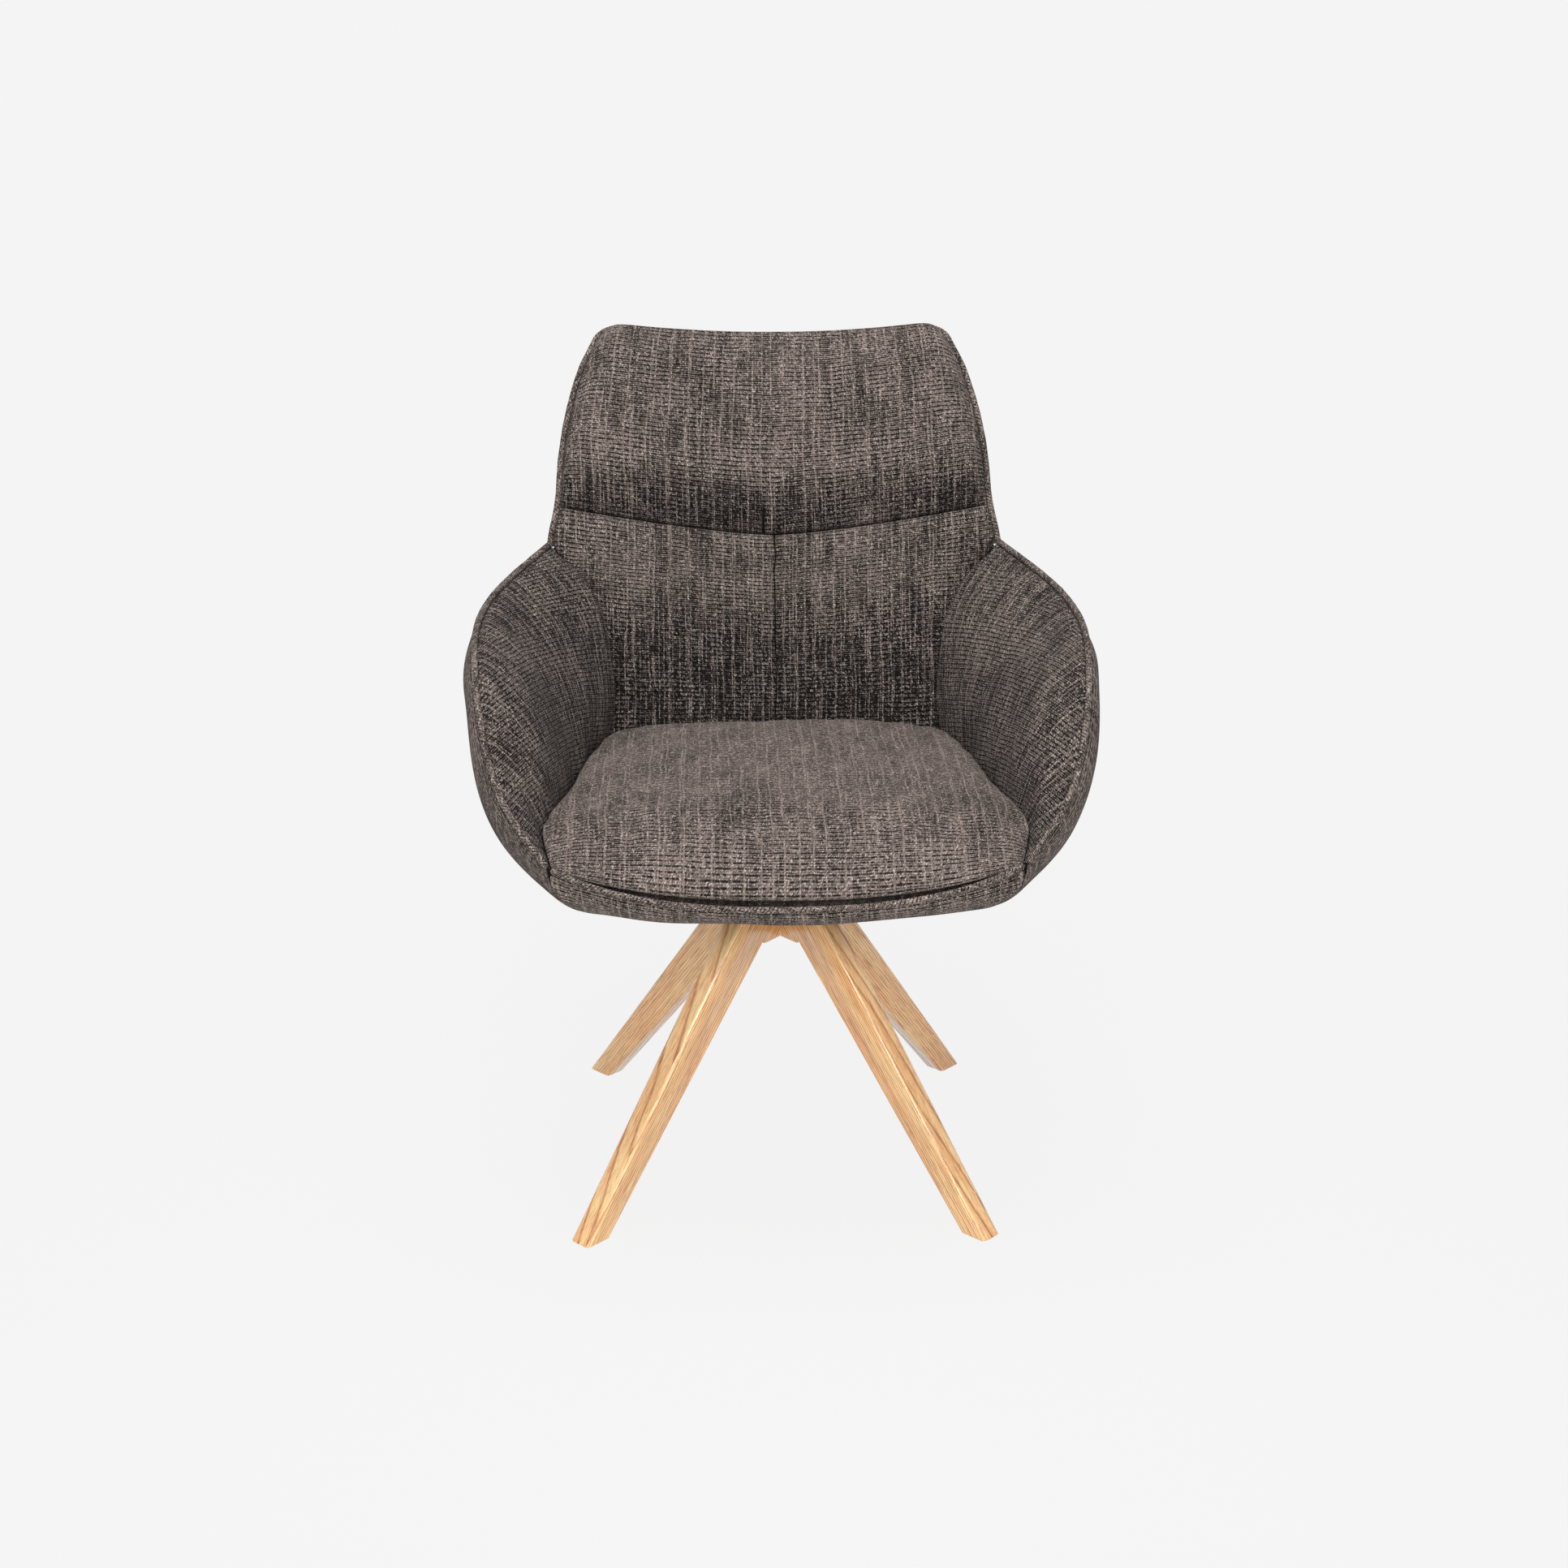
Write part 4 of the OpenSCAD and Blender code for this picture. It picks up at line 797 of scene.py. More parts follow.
def makeSeatCushion():
    def place(u, v, layer):
        u, v = eased(u), eased(v)
        top = seatOutline(u, v, np.ones_like(u))
        power = mix(seat["sidePower"], seat["frontPower"], np.clip(v * 1.6 - 0.6, 0, 1))
        across = (1 - np.abs(2 * u - 1) ** power) ** seat["fullness"]
        along = (1 - np.abs(2 * v - 1) ** seat["sidePower"]) ** seat["fullness"]
        rise = across * along
        uneven = lumps(top, *seat["lumps"]) * np.clip(rise * 2, 0, 1)
        # folds lie near the front corners
        fold = lumps(top * np.array([1, 0.55, 1]), *seat["folds"])
        fold = fold * np.clip((v - 0.62) / 0.2, 0, 1) * np.clip((np.abs(u - 0.5) - 0.22) / 0.12, 0, 1)
        crown = mix(top[:, 2], seatTop - seat["crownDrop"], rise)
        top[:, 2] = crown + uneven + fold * np.clip(rise * 3, 0, 1)
        # the cloth bellies out over the piping along the front
        front = np.clip((v - 0.5) / 0.3, 0, 1)
        swell = np.sin(math.pi * np.clip(rise / seat["bellyHigh"], 0, 1) ** seat["bellyLow"])
        top = top + frontOutward(2 * u - 1) * (seat["belly"] * swell * front)[:, None]
        middle = seatOutline(u, v, np.full_like(u, seat["middleLevel"]))
        low = seatOutline(u, v, np.zeros_like(u))
        border = (np.minimum(u, 1 - u) < 1e-6) | (np.minimum(v, 1 - v) < 1e-6)
        low[:, 2] = np.where(border, low[:, 2], foamTop + faceGap)
        return np.where((layer == 0)[:, None], top, np.where((layer == 1)[:, None], middle, low))

    up = lengthUp(lambda u, v: place(u, v, u * 0))

    def edgeOf(t):
        # -1 and 1 at the two edges, and 0 between them
        return np.rint(2 * t - 1) * (np.abs(2 * t - 1) > 0.9999)

    def weave(u, v, points, layer):
        # the cloth goes on down the sides
        down = layer * seat["sideTall"]
        return points[:, 0] + seat["cut"][0] + edgeOf(u) * down, up(v) + seat["cut"][1] + edgeOf(v) * down

    piece = sewnGrid("seat_cushion_cloth", seat["columns"], seat["rows"], 2, place, weave)

    def free(points):
        return points[:, 2] >= seat["edgeHeight"] + seat["heldEdge"]

    puffUp(piece, free, seat["growth"], seat["cap"])
    smoothSkin(piece)
    return keep(piece, "seat_cushion")


makeSeatCushion()
print("seat cushion filled")

# Outer covers, each a skin with its thin foam
# size: columns, rows and the share of the height over which the cover thins to its sewn edge
covers = {
    "sideSize": (56, 30, 0.2), "rearSize": (60, 60, 0.1), "frontSize": (64, 16, 0.3),
    "trim": 0.0075, "middle": (0.0, -0.05, 0.5), "lumps": (0.08, 0.0028), "lumpsShares": (0.05, 0.15),
    "puckersReach": 0.016, "puckersShare": 0.02,
    "sideCut": (4.4, 0.1), "rearCut": 6.2, "frontCut": 8.3,
}
coverEnd = 1 - covers["trim"]    # the covers start and end just inside the corners


def makeCover(node, size, surface, weave, seed):
    columns, rows, edgeShare = size

    def place(u, v, layer):
        p = surface(u, v)
        n = surfaceNormal(surface, u, v, covers["middle"])
        thick = mix(sewnEdge, shell["coverDepth"], roll(1 - v, edgeShare))
        sideShare, endShare = covers["lumpsShares"]
        fromSide, fromEnd = np.minimum(u, 1 - u) / sideShare, np.minimum(1 - v, v) / endShare
        inside = np.clip(fromEnd, 0, 1) * np.clip(fromSide, 0, 1)
        wave = lumps(p, *covers["lumps"], seed) * inside
        drawn = puckers(u * 0.5, (1 - v) * 0.25, seed, reach=covers["puckersReach"])
        wave = wave + drawn * np.clip((1 - v) / covers["puckersShare"], 0, 1)
        return p + n * np.where(layer == 0, wave, wave * 0.5 - thick)[:, None]

    piece = sewnGrid(node + "_cloth", columns, rows, 1, place, weave)
    smoothSkin(piece)
    return keep(piece, node)


def makeSideCover(node, side):
    def surface(u, v):
        return mirroredSide(sideCoverPoint(mix(covers["trim"], coverEnd, u), v), side)

    up, cut = lengthUp(surface), covers["sideCut"]

    def weave(u, v, points, layer):
        return -points[:, 1] + cut[0] + side * 0.3, up(v) + cut[1]

    makeCover(node, covers["sideSize"], surface, weave, 31.0 + side)


def makeRearCover():
    def surface(u, v):
        return rearCoverPoint(mix(-coverEnd, coverEnd, eased(u)), v)

    up = lengthUp(surface)

    def weave(u, v, points, layer):
        return points[:, 0] + covers["rearCut"], up(v)

    makeCover("rear_cover", covers["rearSize"], surface, weave, 37.0)


def makeApron():
    def surface(u, v):
        return frontCoverPoint(mix(-coverEnd, coverEnd, u), v)

    up = lengthUp(surface)

    def weave(u, v, points, layer):
        return points[:, 0] + covers["frontCut"], up(v)

    makeCover("front_apron", covers["frontSize"], surface, weave, 41.0)


makeSideCover("left_side_cover", -1)
makeSideCover("right_side_cover", 1)
makeRearCover()
makeApron()
print("outer covers sewn")

# Piping: a covered cord along each sewn edge, with the flange that is sewn in behind it
piping = {
    "radius": shell["pipingRadius"], "sides": 12, "step": 0.0028, "bias": 62.0,
    "flangeThick": 0.0003, "flangeIn": 0.0036, "uneven": (0.012, 0.09),
    "armStart": 0.001, "armEnd": 0.99, "neckLift": -0.0005, "frontEnd": 0.985, "backSideShare": 0.46,
}


def makePiping(node, route, seed):
    # the route gives the cord's centre and the direction away from the sewn edge
    dense, away = route(np.linspace(0, 1, 600))
    run = np.append(0, np.linalg.norm(np.diff(dense, axis=0), axis=1).cumsum())
    steps = int(run[-1] / piping["step"])
    even = np.linspace(0, run[-1], steps + 1)
    path = np.stack([np.interp(even, run, dense[:, k]) for k in range(3)], -1)
    side = np.stack([np.interp(even, run, away[:, k]) for k in range(3)], -1)
    along = unit(np.gradient(path, axis=0))
    side = unit(side - (side * along).sum(-1, keepdims=True) * along)
    up = np.cross(side, along)
    length = run[-1]

    def cord(u, v, layer):
        i = np.rint(u * steps).astype(int)
        fromEnd = np.minimum(even[i], length - even[i])
        radius = piping["radius"] * roll(fromEnd + 0.0001, piping["radius"])
        radius = radius * (1 + lumps(path[i], *piping["uneven"], seed))
        angle = 2 * math.pi * v
        return path[i] + radius[:, None] * (np.cos(angle)[:, None] * side[i] + np.sin(angle)[:, None] * up[i])

    def flange(u, v, layer):
        i = np.rint(u * steps).astype(int)
        inward = mix(piping["radius"] * 0.6, pipingOut + piping["flangeIn"], v)
        level = piping["flangeThick"] * np.where(layer == 0, 0.5, -0.5)
        return path[i] - inward[:, None] * side[i] + level[:, None] * up[i]

    def onBias(u, v, points, layer):
        run, around = u * length, v * 2 * math.pi * piping["radius"]
        bias = math.radians(piping["bias"])
        across = run * math.cos(bias) + around * math.sin(bias) + seed
        return across, around * math.cos(bias) - run * math.sin(bias)

    piece = sewnGrid(node + "_cord", steps, piping["sides"], 0, cord, onBias)
    tape = sewnGrid(node + "_flange", steps, 1, 1, flange, onBias)
    joinPieces([piece, tape])
    smoothSkin(piece, 0)
    return keep(piece, node)


def armPipingRoute(t):
    j = mix(piping["armStart"], piping["armEnd"], t)
    one = np.ones_like(j)
    n = armNormal(j, one)
    m = unit(armPoint(j, one) - armPoint(j, one * 0.9))
    away = unit(m - (m * n).sum(-1, keepdims=True) * n)
    return armPoint(j, one) - n * (sewnEdge + faceGap) + away * pipingOut, away


def leftArmPipingRoute(t):
    centre, away = armPipingRoute(t)
    return mirroredSide(centre, -1), mirroredSide(away, -1)


def frontPipingRoute(t):
    # at both corners the cord runs into the cords of the arms
    a = mix(-piping["frontEnd"], piping["frontEnd"], t)
    centre = frontRim(a) - xyz(0, 0, sewnEdge * (1 - a * a)) + frontOutward(a) * pipingOut
    armCentre, armAway = armPipingRoute(np.full_like(a, 1.0))
    hand = xyz(np.where(a < 0, -1, 1), 1, 1)
    corner = (np.abs(a) ** 10)[:, None]
    shift = (armCentre - frontRim(np.ones_like(a)) - frontOutward(np.ones_like(a)) * pipingOut) * hand
    return centre + shift * corner, unit(mix(frontOutward(a), armAway * hand, corner))


def backPipingRoute(t):
    # up one side from the neck, along the top edge and down the other side
    sideShare = piping["backSideShare"]
    t, hand = 1 - np.abs(2 * t - 1), np.where(t < 0.5, -1, 1)
    z = mix(neckHeight + piping["neckLift"], topEdge(1.0), np.clip(t / sideShare, 0, 1))
    sideN = backNormal(z, topEdge(1.0) - z)
    side = backPoint(np.ones_like(z), z) - sideN * (sewnEdge + faceGap) + xyz(pipingOut, 0, 0)
    a = mix(1.0, 0.0, np.clip((t - sideShare) / (1 - sideShare), 0, 1))
    e = np.maximum(0, (a - shell["cornerStart"]) / (1 - shell["cornerStart"]))
    z = topEdge(a)
    n = backNormal(z, 0 * z)
    rise = np.sqrt(np.maximum(0, 1 - e * e)) / shell["cornerDrop"]
    away = unit(xyz(e / (1 - shell["cornerStart"]) / backHalf(z), n[..., 2] * rise, -n[..., 1] * rise))
    top = backPoint(a, z) - n * (sewnEdge + faceGap) + away * pipingOut
    onSide = (t < sideShare)[:, None]
    mirror = xyz(hand, 1, 1)
    return np.where(onSide, side, top) * mirror, np.where(onSide, [[1.0, 0, 0]], away) * mirror


makePiping("back_piping", backPipingRoute, 51.0)
makePiping("right_arm_piping", armPipingRoute, 53.0)
makePiping("left_arm_piping", leftArmPipingRoute, 57.0)
makePiping("front_piping", frontPipingRoute, 59.0)
print("piping sewn in")

# Underside cloth, stretched below the turned-in edges of the covers
dustCloth = {
    "lap": 0.010, "thick": 0.0007, "hole": 0.0870, "columns": 160, "rows": 8,
    "sag": 0.0003, "ripple": 0.05,
}


def dustOutline(t):
    # once round, from the front left corner along the front
    part = np.minimum(np.floor(t * 4), 3)
    k = t * 4 - part
    lap = dustCloth["lap"]
    a = mix(-1.0, 1.0, k)
    front = frontBottom(a) + lap * frontOutward(a)
    right = spline(bottomEdge, 1 - k) + lap * armOutward(1 - k)
    rear = rearBottom(-a) + lap * rearOutward(-a)
    left = mirroredSide(spline(bottomEdge, k) + lap * armOutward(k), -1)
    pick = part[:, None]
    return np.where(pick == 0, front, np.where(pick == 1, right, np.where(pick == 2, rear, left)))


def makeDustCover():
    top = boxHigh("dust_cover").z - 0.0001

    def place(u, v, layer):
        outer = dustOutline(u % 1.0)
        angle = np.arctan2(outer[:, 1], outer[:, 0])
        inner = xyz(dustCloth["hole"] * np.cos(angle), dustCloth["hole"] * np.sin(angle), 0)
        p = mix(inner, outer, v[:, None])
        sag = np.abs(lumps(p, dustCloth["ripple"], dustCloth["sag"], 61.0)) * np.sin(math.pi * v)
        p[:, 2] = top - sag - np.where(layer == 0, 0, dustCloth["thick"])
        return p

    def weave(u, v, points, layer):
        return points[:, 0], points[:, 1]

    piece = sewnGrid("dust_cover_cloth", dustCloth["columns"], dustCloth["rows"], 1, place, weave)
    smoothSkin(piece, 0)
    keep(piece, "dust_cover")
    ring = dustOutline(np.linspace(0, 1, 400, endpoint=False))


makeDustCover()
print("underside cloth stretched")


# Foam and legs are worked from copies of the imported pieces
def copyOfNode(node, name):
    source = frame["nodes"][node]
    piece = bpy.data.objects.new(name, source.data.copy())
    scene.collection.objects.link(piece)
    piece.data.name = name
    piece.data.materials.clear()
    cleanFaces(piece, merge=0.00001)
    return piece


# Seat foam, cut from a block with its edges broken; the angles are in degrees
foamBlock = {"round": 0.004, "segments": 3, "flat": 2, "smooth": 40}


def makeSeatFoam():
    piece = copyOfNode("seat_foam", "seat_foam_block")
    flatten(piece, foamBlock["flat"])
    applyModifier(piece, "BEVEL", width=foamBlock["round"], segments=foamBlock["segments"])
    bpy.ops.object.shade_smooth_by_angle(angle=math.radians(foamBlock["smooth"]))
    return keep(piece, "seat_foam")


makeSeatFoam()

# Elastic webbing across the back tube
webbing = {
    "heights": (0.470, 0.545, 0.620, 0.705), "wide": 0.040, "thick": 0.0016, "columns": 40, "rows": 6,
    "footReach": 0.124, "footHeight": 0.39, "tall": 0.42,
}


def makeBackStraps():
    tubeHalf = boxHigh("back_tube").x
    straps = []
    for z0 in webbing["heights"]:
        def place(u, v, layer, z0=z0):
            # each strap ends at the tube, which spreads toward its top
            reach = mix(webbing["footReach"], tubeHalf, (z0 - webbing["footHeight"]) / webbing["tall"])
            z = z0 + (v - 0.5) * webbing["wide"]
            x = (2 * u - 1) * reach
            p, n = backPoint(x / backHalf(z), z), backNormal(z, 1.0)
            depth = shell["padDepth"] + 2 * faceGap + np.where(layer == 0, 0, webbing["thick"])
            return p - n * depth[:, None]

        def weave(u, v, points, layer):
            return points[:, 0], points[:, 2]

        straps.append(sewnGrid("strap", webbing["columns"], webbing["rows"], 1, place, weave))
    piece = joinPieces(straps)
    piece.name = piece.data.name = "back_straps_webbing"
    return keep(piece, "back_straps")


makeBackStraps()
print("foam and webbing placed")

# Legs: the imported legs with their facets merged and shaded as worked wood, each with its turn in degrees
legs = {"front_left_leg": 225, "front_right_leg": 315, "rear_left_leg": 135, "rear_right_leg": 45}
legWork = {"flat": 0.6, "smooth": 38}    # degrees


def makeLeg(node):
    piece = copyOfNode(node, node + "_oak")
    flatten(piece, legWork["flat"])
    bpy.ops.object.shade_smooth_by_angle(angle=math.radians(legWork["smooth"]))
    return keep(piece, node, body="base")


for legName in legs:
    makeLeg(legName)
print("legs worked")


# Materials: small helpers for node trees
def plug(tree, sockets, values):
    # what comes from another node is linked, and the rest is set as a plain value
    for label, value in values.items():
        if isinstance(value, bpy.types.NodeSocket):
            tree.links.new(value, sockets[label])
        else:
            sockets[label].default_value = value


def addNode(tree, kind, inputs=None, **settings):
    node = tree.nodes.new(kind)
    node.location = (190 * (len(tree.nodes) % 12), -260 * (len(tree.nodes) // 12))
    for name, value in settings.items():
        setattr(node, name, value)
    plug(tree, node.inputs, inputs or {})
    return node


def axes(tree, place):
    return addNode(tree, "ShaderNodeSeparateXYZ", {0: place}).outputs


def calc(tree, operation, *values, clamp=False):
    node = addNode(tree, "ShaderNodeMath", dict(enumerate(values)), operation=operation, use_clamp=clamp)
    return node.outputs[0]


def sumsIn(tree):
    # short forms for one tree: product, quotient, difference, and product plus a third value
    def form(operation):
        return lambda *values, clamp=False: calc(tree, operation, *values, clamp=clamp)

    return [form(operation) for operation in ("MULTIPLY", "DIVIDE", "SUBTRACT", "MULTIPLY_ADD")]


def step(tree, value, low, high, toLow=0.0, toHigh=1.0):
    limits = {"Value": value, "From Min": low, "From Max": high, "To Min": toLow, "To Max": toHigh}
    return addNode(tree, "ShaderNodeMapRange", limits, interpolation_type="SMOOTHSTEP").outputs["Result"]


def noiseOf(tree, x, y, z=0.0, detail=0.0, roughness=0.5):
    place = addNode(tree, "ShaderNodeCombineXYZ", {"X": x, "Y": y, "Z": z}).outputs[0]
    settings = {"Vector": place, "Scale": 1.0, "Detail": detail, "Roughness": roughness}
    return addNode(tree, "ShaderNodeTexNoise", settings, noise_dimensions="3D").outputs[0]


def blendColors(tree, share, first, second):
    return addNode(tree, "ShaderNodeMix", {0: share, 6: first, 7: second}, data_type="RGBA").outputs[2]


def newGroup(name, place, numbers, colors):
    # a group that makes a colour, a height and a roughness from a place, numbers and colours
    group = bpy.data.node_groups.new(name, "ShaderNodeTree")
    inputs = {place: "Vector", **dict.fromkeys(numbers, "Float"), **dict.fromkeys(colors, "Color")}
    for label, kind in inputs.items():
        group.interface.new_socket(label, in_out="INPUT", socket_type="NodeSocket" + kind)
    for label, kind in (("Color", "Color"), ("Height", "Float"), ("Roughness", "Float")):
        group.interface.new_socket(label, in_out="OUTPUT", socket_type="NodeSocket" + kind)
    return group, addNode(group, "NodeGroupInput").outputs, addNode(group, "NodeGroupOutput").inputs


# The chair cloth: double ribs of fuzzy yarn, dark dashes in the gaps between them, pale warp
# threads across them, and places where the pile is pressed, with more dark and more warp to see;
# the pressing also carries painted shade where a material asks for it.
# Sizes are in mm, along the ribs and then across them; limits are where a part starts and is whole.
ribs = {
    "wanderSize": (26.0, 30.0), "wander": 3.0,
    "patchSize": (16.0, 46.0), "patch": 1.5, "broadSize": (90.0, 110.0), "broad": 0.8, "pressedMost": 1.7,
    # a warp thread's half width, its softness, its sway and its seed
    "wideWarp": (0.85, 0.5, 7.0, 2.2), "thinWarp": (0.55, 0.4, 4.0, 6.9),
    "thinGap": 1.25, "thinPressed": 0.9, "thinLeast": 0.2,
    "swaySize": 60.0, "breakSpread": 37.0, "breakSize": 34.0, "breakLimits": (0.36, 0.58), "brokenShare": 0.3,
    # a gap's seed and half width
    "mainGap": (1.3, 0.26), "minorGap": (4.4, 0.165), "gapPressed": 0.09,
    "dashSize": 3.6, "dashSpread": 5.31, "dash": 0.34, "dashPressed": 0.14, "dashLimits": (0.34, 0.52),
    "dashLeast": 0.25, "gapCore": 0.3, "minorSize": (40.0, 55.0), "minorLimits": (0.30, 0.65, 0.30, 0.95),
    "barsOverDark": 0.82, "barsOverMottle": 0.85,
    "slant": 0.55, "strandSize": (0.80, 1.6), "fuzzSize": (0.42, 0.42), "streakSize": (5.0, 40.0),
    "mottleSize": (3.0, 3.4), "mottleLimits": (0.40, 0.60), "fleckAndSheenLimits": (0.57, 0.70), "fleckAndSheen": 0.75,
    # shares of the parts in the cloth's tone
    "base": 0.78, "strands": 2.5, "fuzz": 0.7, "streaks": 0.55, "bars": 0.16,
    "mottle": -0.62, "pressedAndShade": -0.22, "dark": -0.94,
    "crestLimits": (0.0, 0.24), "furrowLimits": (-0.10, 0.16, 0.45, 1.0),
    "crestHeight": 0.62, "strandHeight": 0.45, "barHeight": 0.14, "rough": 0.80, "darkRough": 0.12,
}


def makeRibWeave():
    tree, given, result = newGroup(
        "rib weave", "Surface", ["Rib pitch", "Warp gap", "Pressed and shade"], ["Pale", "Dark", "Fleck and sheen"])
    times, over, minus, timesPlus = sumsIn(tree)
    place = axes(tree, given["Surface"])
    x, y = times(place["X"], 1000.0), times(place["Y"], 1000.0)

    def grain(sizeName, seed=0.0, along=x, across=y, **settings):
        size = ribs[sizeName]
        return noiseOf(tree, over(along, size[0]), over(across, size[1]), seed, **settings)

    def centred(value):
        return minus(value, 0.5)

    bent = timesPlus(grain("wanderSize", detail=1.0), ribs["wander"], y)
    row = over(bent, given["Rib pitch"])
    gapIndex, halfIndex = calc(tree, "ROUND", row), calc(tree, "FLOOR", row)
    fromGap = calc(tree, "ABSOLUTE", minus(row, gapIndex))
    fromMiddle = minus(0.5, fromGap)

    # pressed pile, in soft upright patches, on top of the given level, which also carries painted shade
    patch = centred(grain("patchSize", 3.7, detail=2.0, roughness=0.55))
    pressedAndShade = timesPlus(patch, ribs["patch"], given["Pressed and shade"])
    pressedAndShade = timesPlus(centred(grain("broadSize", 8.1)), ribs["broad"], pressedAndShade)
    pressedAndShade = calc(tree, "MINIMUM", calc(tree, "MAXIMUM", pressedAndShade, 0.0), ribs["pressedMost"])

    # pale warp threads: wide ones far apart, and thin ones that show where the pile is pressed and where
    # shade is painted
    def warp(gap, halfWidth, soft, sway, seed):
        along = over(timesPlus(noiseOf(tree, seed, over(y, ribs["swaySize"])), sway, x), gap)
        cells = addNode(tree, "ShaderNodeTexVoronoi", {"W": along, "Scale": 1.0}, voronoi_dimensions="1D")
        tones = addNode(tree, "ShaderNodeSeparateColor", {0: cells.outputs["Color"]}).outputs
        distance = times(cells.outputs["Distance"], gap)
        shape = step(tree, distance, halfWidth - soft, halfWidth + soft, 1.0, 0.0)
        broken = noiseOf(tree, times(tones[1], ribs["breakSpread"]), over(y, ribs["breakSize"]), seed)
        shown = step(tree, broken, *ribs["breakLimits"])
        return times(shape, timesPlus(shown, 1 - ribs["brokenShare"], ribs["brokenShare"]))

    wide = warp(given["Warp gap"], *ribs["wideWarp"])
    thin = warp(times(given["Rib pitch"], ribs["thinGap"]), *ribs["thinWarp"])
    thin = times(thin, timesPlus(pressedAndShade, ribs["thinPressed"], ribs["thinLeast"], clamp=True))
    bars = calc(tree, "MAXIMUM", wide, thin)

    # dark dashes in the gaps, wider and less broken where the pile is pressed and where shade is painted
    def gapLine(distance, index, seed, halfWidth):
        dash = noiseOf(tree, over(x, ribs["dashSize"]), times(index, ribs["dashSpread"]), seed, detail=1.0)
        width = timesPlus(centred(dash), ribs["dash"], timesPlus(pressedAndShade, ribs["gapPressed"], halfWidth))
        line = minus(1.0, step(tree, over(distance, width), ribs["gapCore"], 1.0))
        seen = step(tree, timesPlus(pressedAndShade, ribs["dashPressed"], dash), *ribs["dashLimits"])
        return times(line, timesPlus(seen, 1 - ribs["dashLeast"], ribs["dashLeast"]))

    minor = gapLine(fromMiddle, halfIndex, *ribs["minorGap"])
    minor = times(minor, step(tree, grain("minorSize", 12.0), *ribs["minorLimits"]))
    dark = calc(tree, "MAXIMUM", gapLine(fromGap, gapIndex, *ribs["mainGap"]), minor)
    dark = times(dark, timesPlus(bars, -ribs["barsOverDark"], 1.0))

    # slanted strands of the yarn, fuzz, and soft upright streaks
    slanted = timesPlus(bent, ribs["slant"], x)
    strands = grain("strandSize", 5.5, slanted, bent, detail=1.0, roughness=0.6)
    mottle = step(tree, grain("mottleSize", 15.5, x, bent, detail=1.0), *ribs["mottleLimits"])
    mottle = times(mottle, timesPlus(bars, -ribs["barsOverMottle"], 1.0))
    parts = {
        "strands": centred(strands),
        "fuzz": centred(grain("fuzzSize", 9.5)),
        "streaks": centred(grain("streakSize", 6.4, detail=1.0)),
        "bars": bars,
        "mottle": times(mottle, pressedAndShade),
        "pressedAndShade": pressedAndShade,
    }
    tone = ribs["base"]
    for name, part in parts.items():
        tone = timesPlus(part, ribs[name], tone)
    tone = times(tone, timesPlus(dark, ribs["dark"], 1.0), clamp=True)
    # pale flecks of yarn, which also stand in as painted sheen highlights on the fibre tips
    fleckAndSheen = times(step(tree, strands, *ribs["fleckAndSheenLimits"]), minus(1.0, dark))
    color = blendColors(tree, tone, given["Dark"], given["Pale"])
    color = blendColors(tree, times(fleckAndSheen, ribs["fleckAndSheen"]), color, given["Fleck and sheen"])

    crest = times(step(tree, fromGap, *ribs["crestLimits"]), step(tree, fromMiddle, *ribs["furrowLimits"]))
    height = timesPlus(crest, ribs["crestHeight"], times(centred(strands), ribs["strandHeight"]))
    height = timesPlus(bars, ribs["barHeight"], height)
    rough = timesPlus(dark, ribs["darkRough"], ribs["rough"])
    plug(tree, result, {"Color": color, "Height": height, "Roughness": rough})
    return tree


def srgb(r, g, b):
    # a colour as seen on the screen, 0 to 255, as the shader wants it
    values = [c / 255 for c in (r, g, b)]
    return tuple(c / 12.92 if c <= 0.04045 else ((c + 0.055) / 1.055) ** 2.4 for c in values) + (1.0,)


# Oak: growth rings round a far pith, open pores along the grain, and slow changes of tone.
# Sizes are in mm, along the grain and then across it.
oak = {
    "lean": 39.9,       # degrees of the leg from upright
    "cut": (0.37, 0.011, 0.017),    # how far on each leg is cut from the board, in metres
    "pale": srgb(255, 217, 156), "warm": srgb(226, 142, 74), "pore": srgb(140, 76, 36),
    "ringPitch": 2.9, "pith": (46.0, 21.0), "driftSize": (160.0, 40.0), "drift": 1.5,
    "earlyLimits": (0.06, 0.30, 1.0, 0.0), "lateLimits": (0.45, 1.0), "early": 0.55, "late": 0.30,
    "poreSize": (24.0, 0.55), "poreEarly": 0.10, "poreLimits": (0.53, 0.64),
    "poreShare": 0.62, "earlyDark": 0.18,
    "streakSize": (90.0, 1.7), "streak": 1.5, "broadSize": (150.0, 14.0), "broad": 0.8, "warmth": 0.22,
    "rough": 0.30, "streakRough": 0.10, "poreRough": 0.2, "poreDepth": 0.5,
    "coat": 1.0, "coatRough": 0.14, "specular": 0.4, "bump": 0.00012, "bumpStrength": 0.6,
}


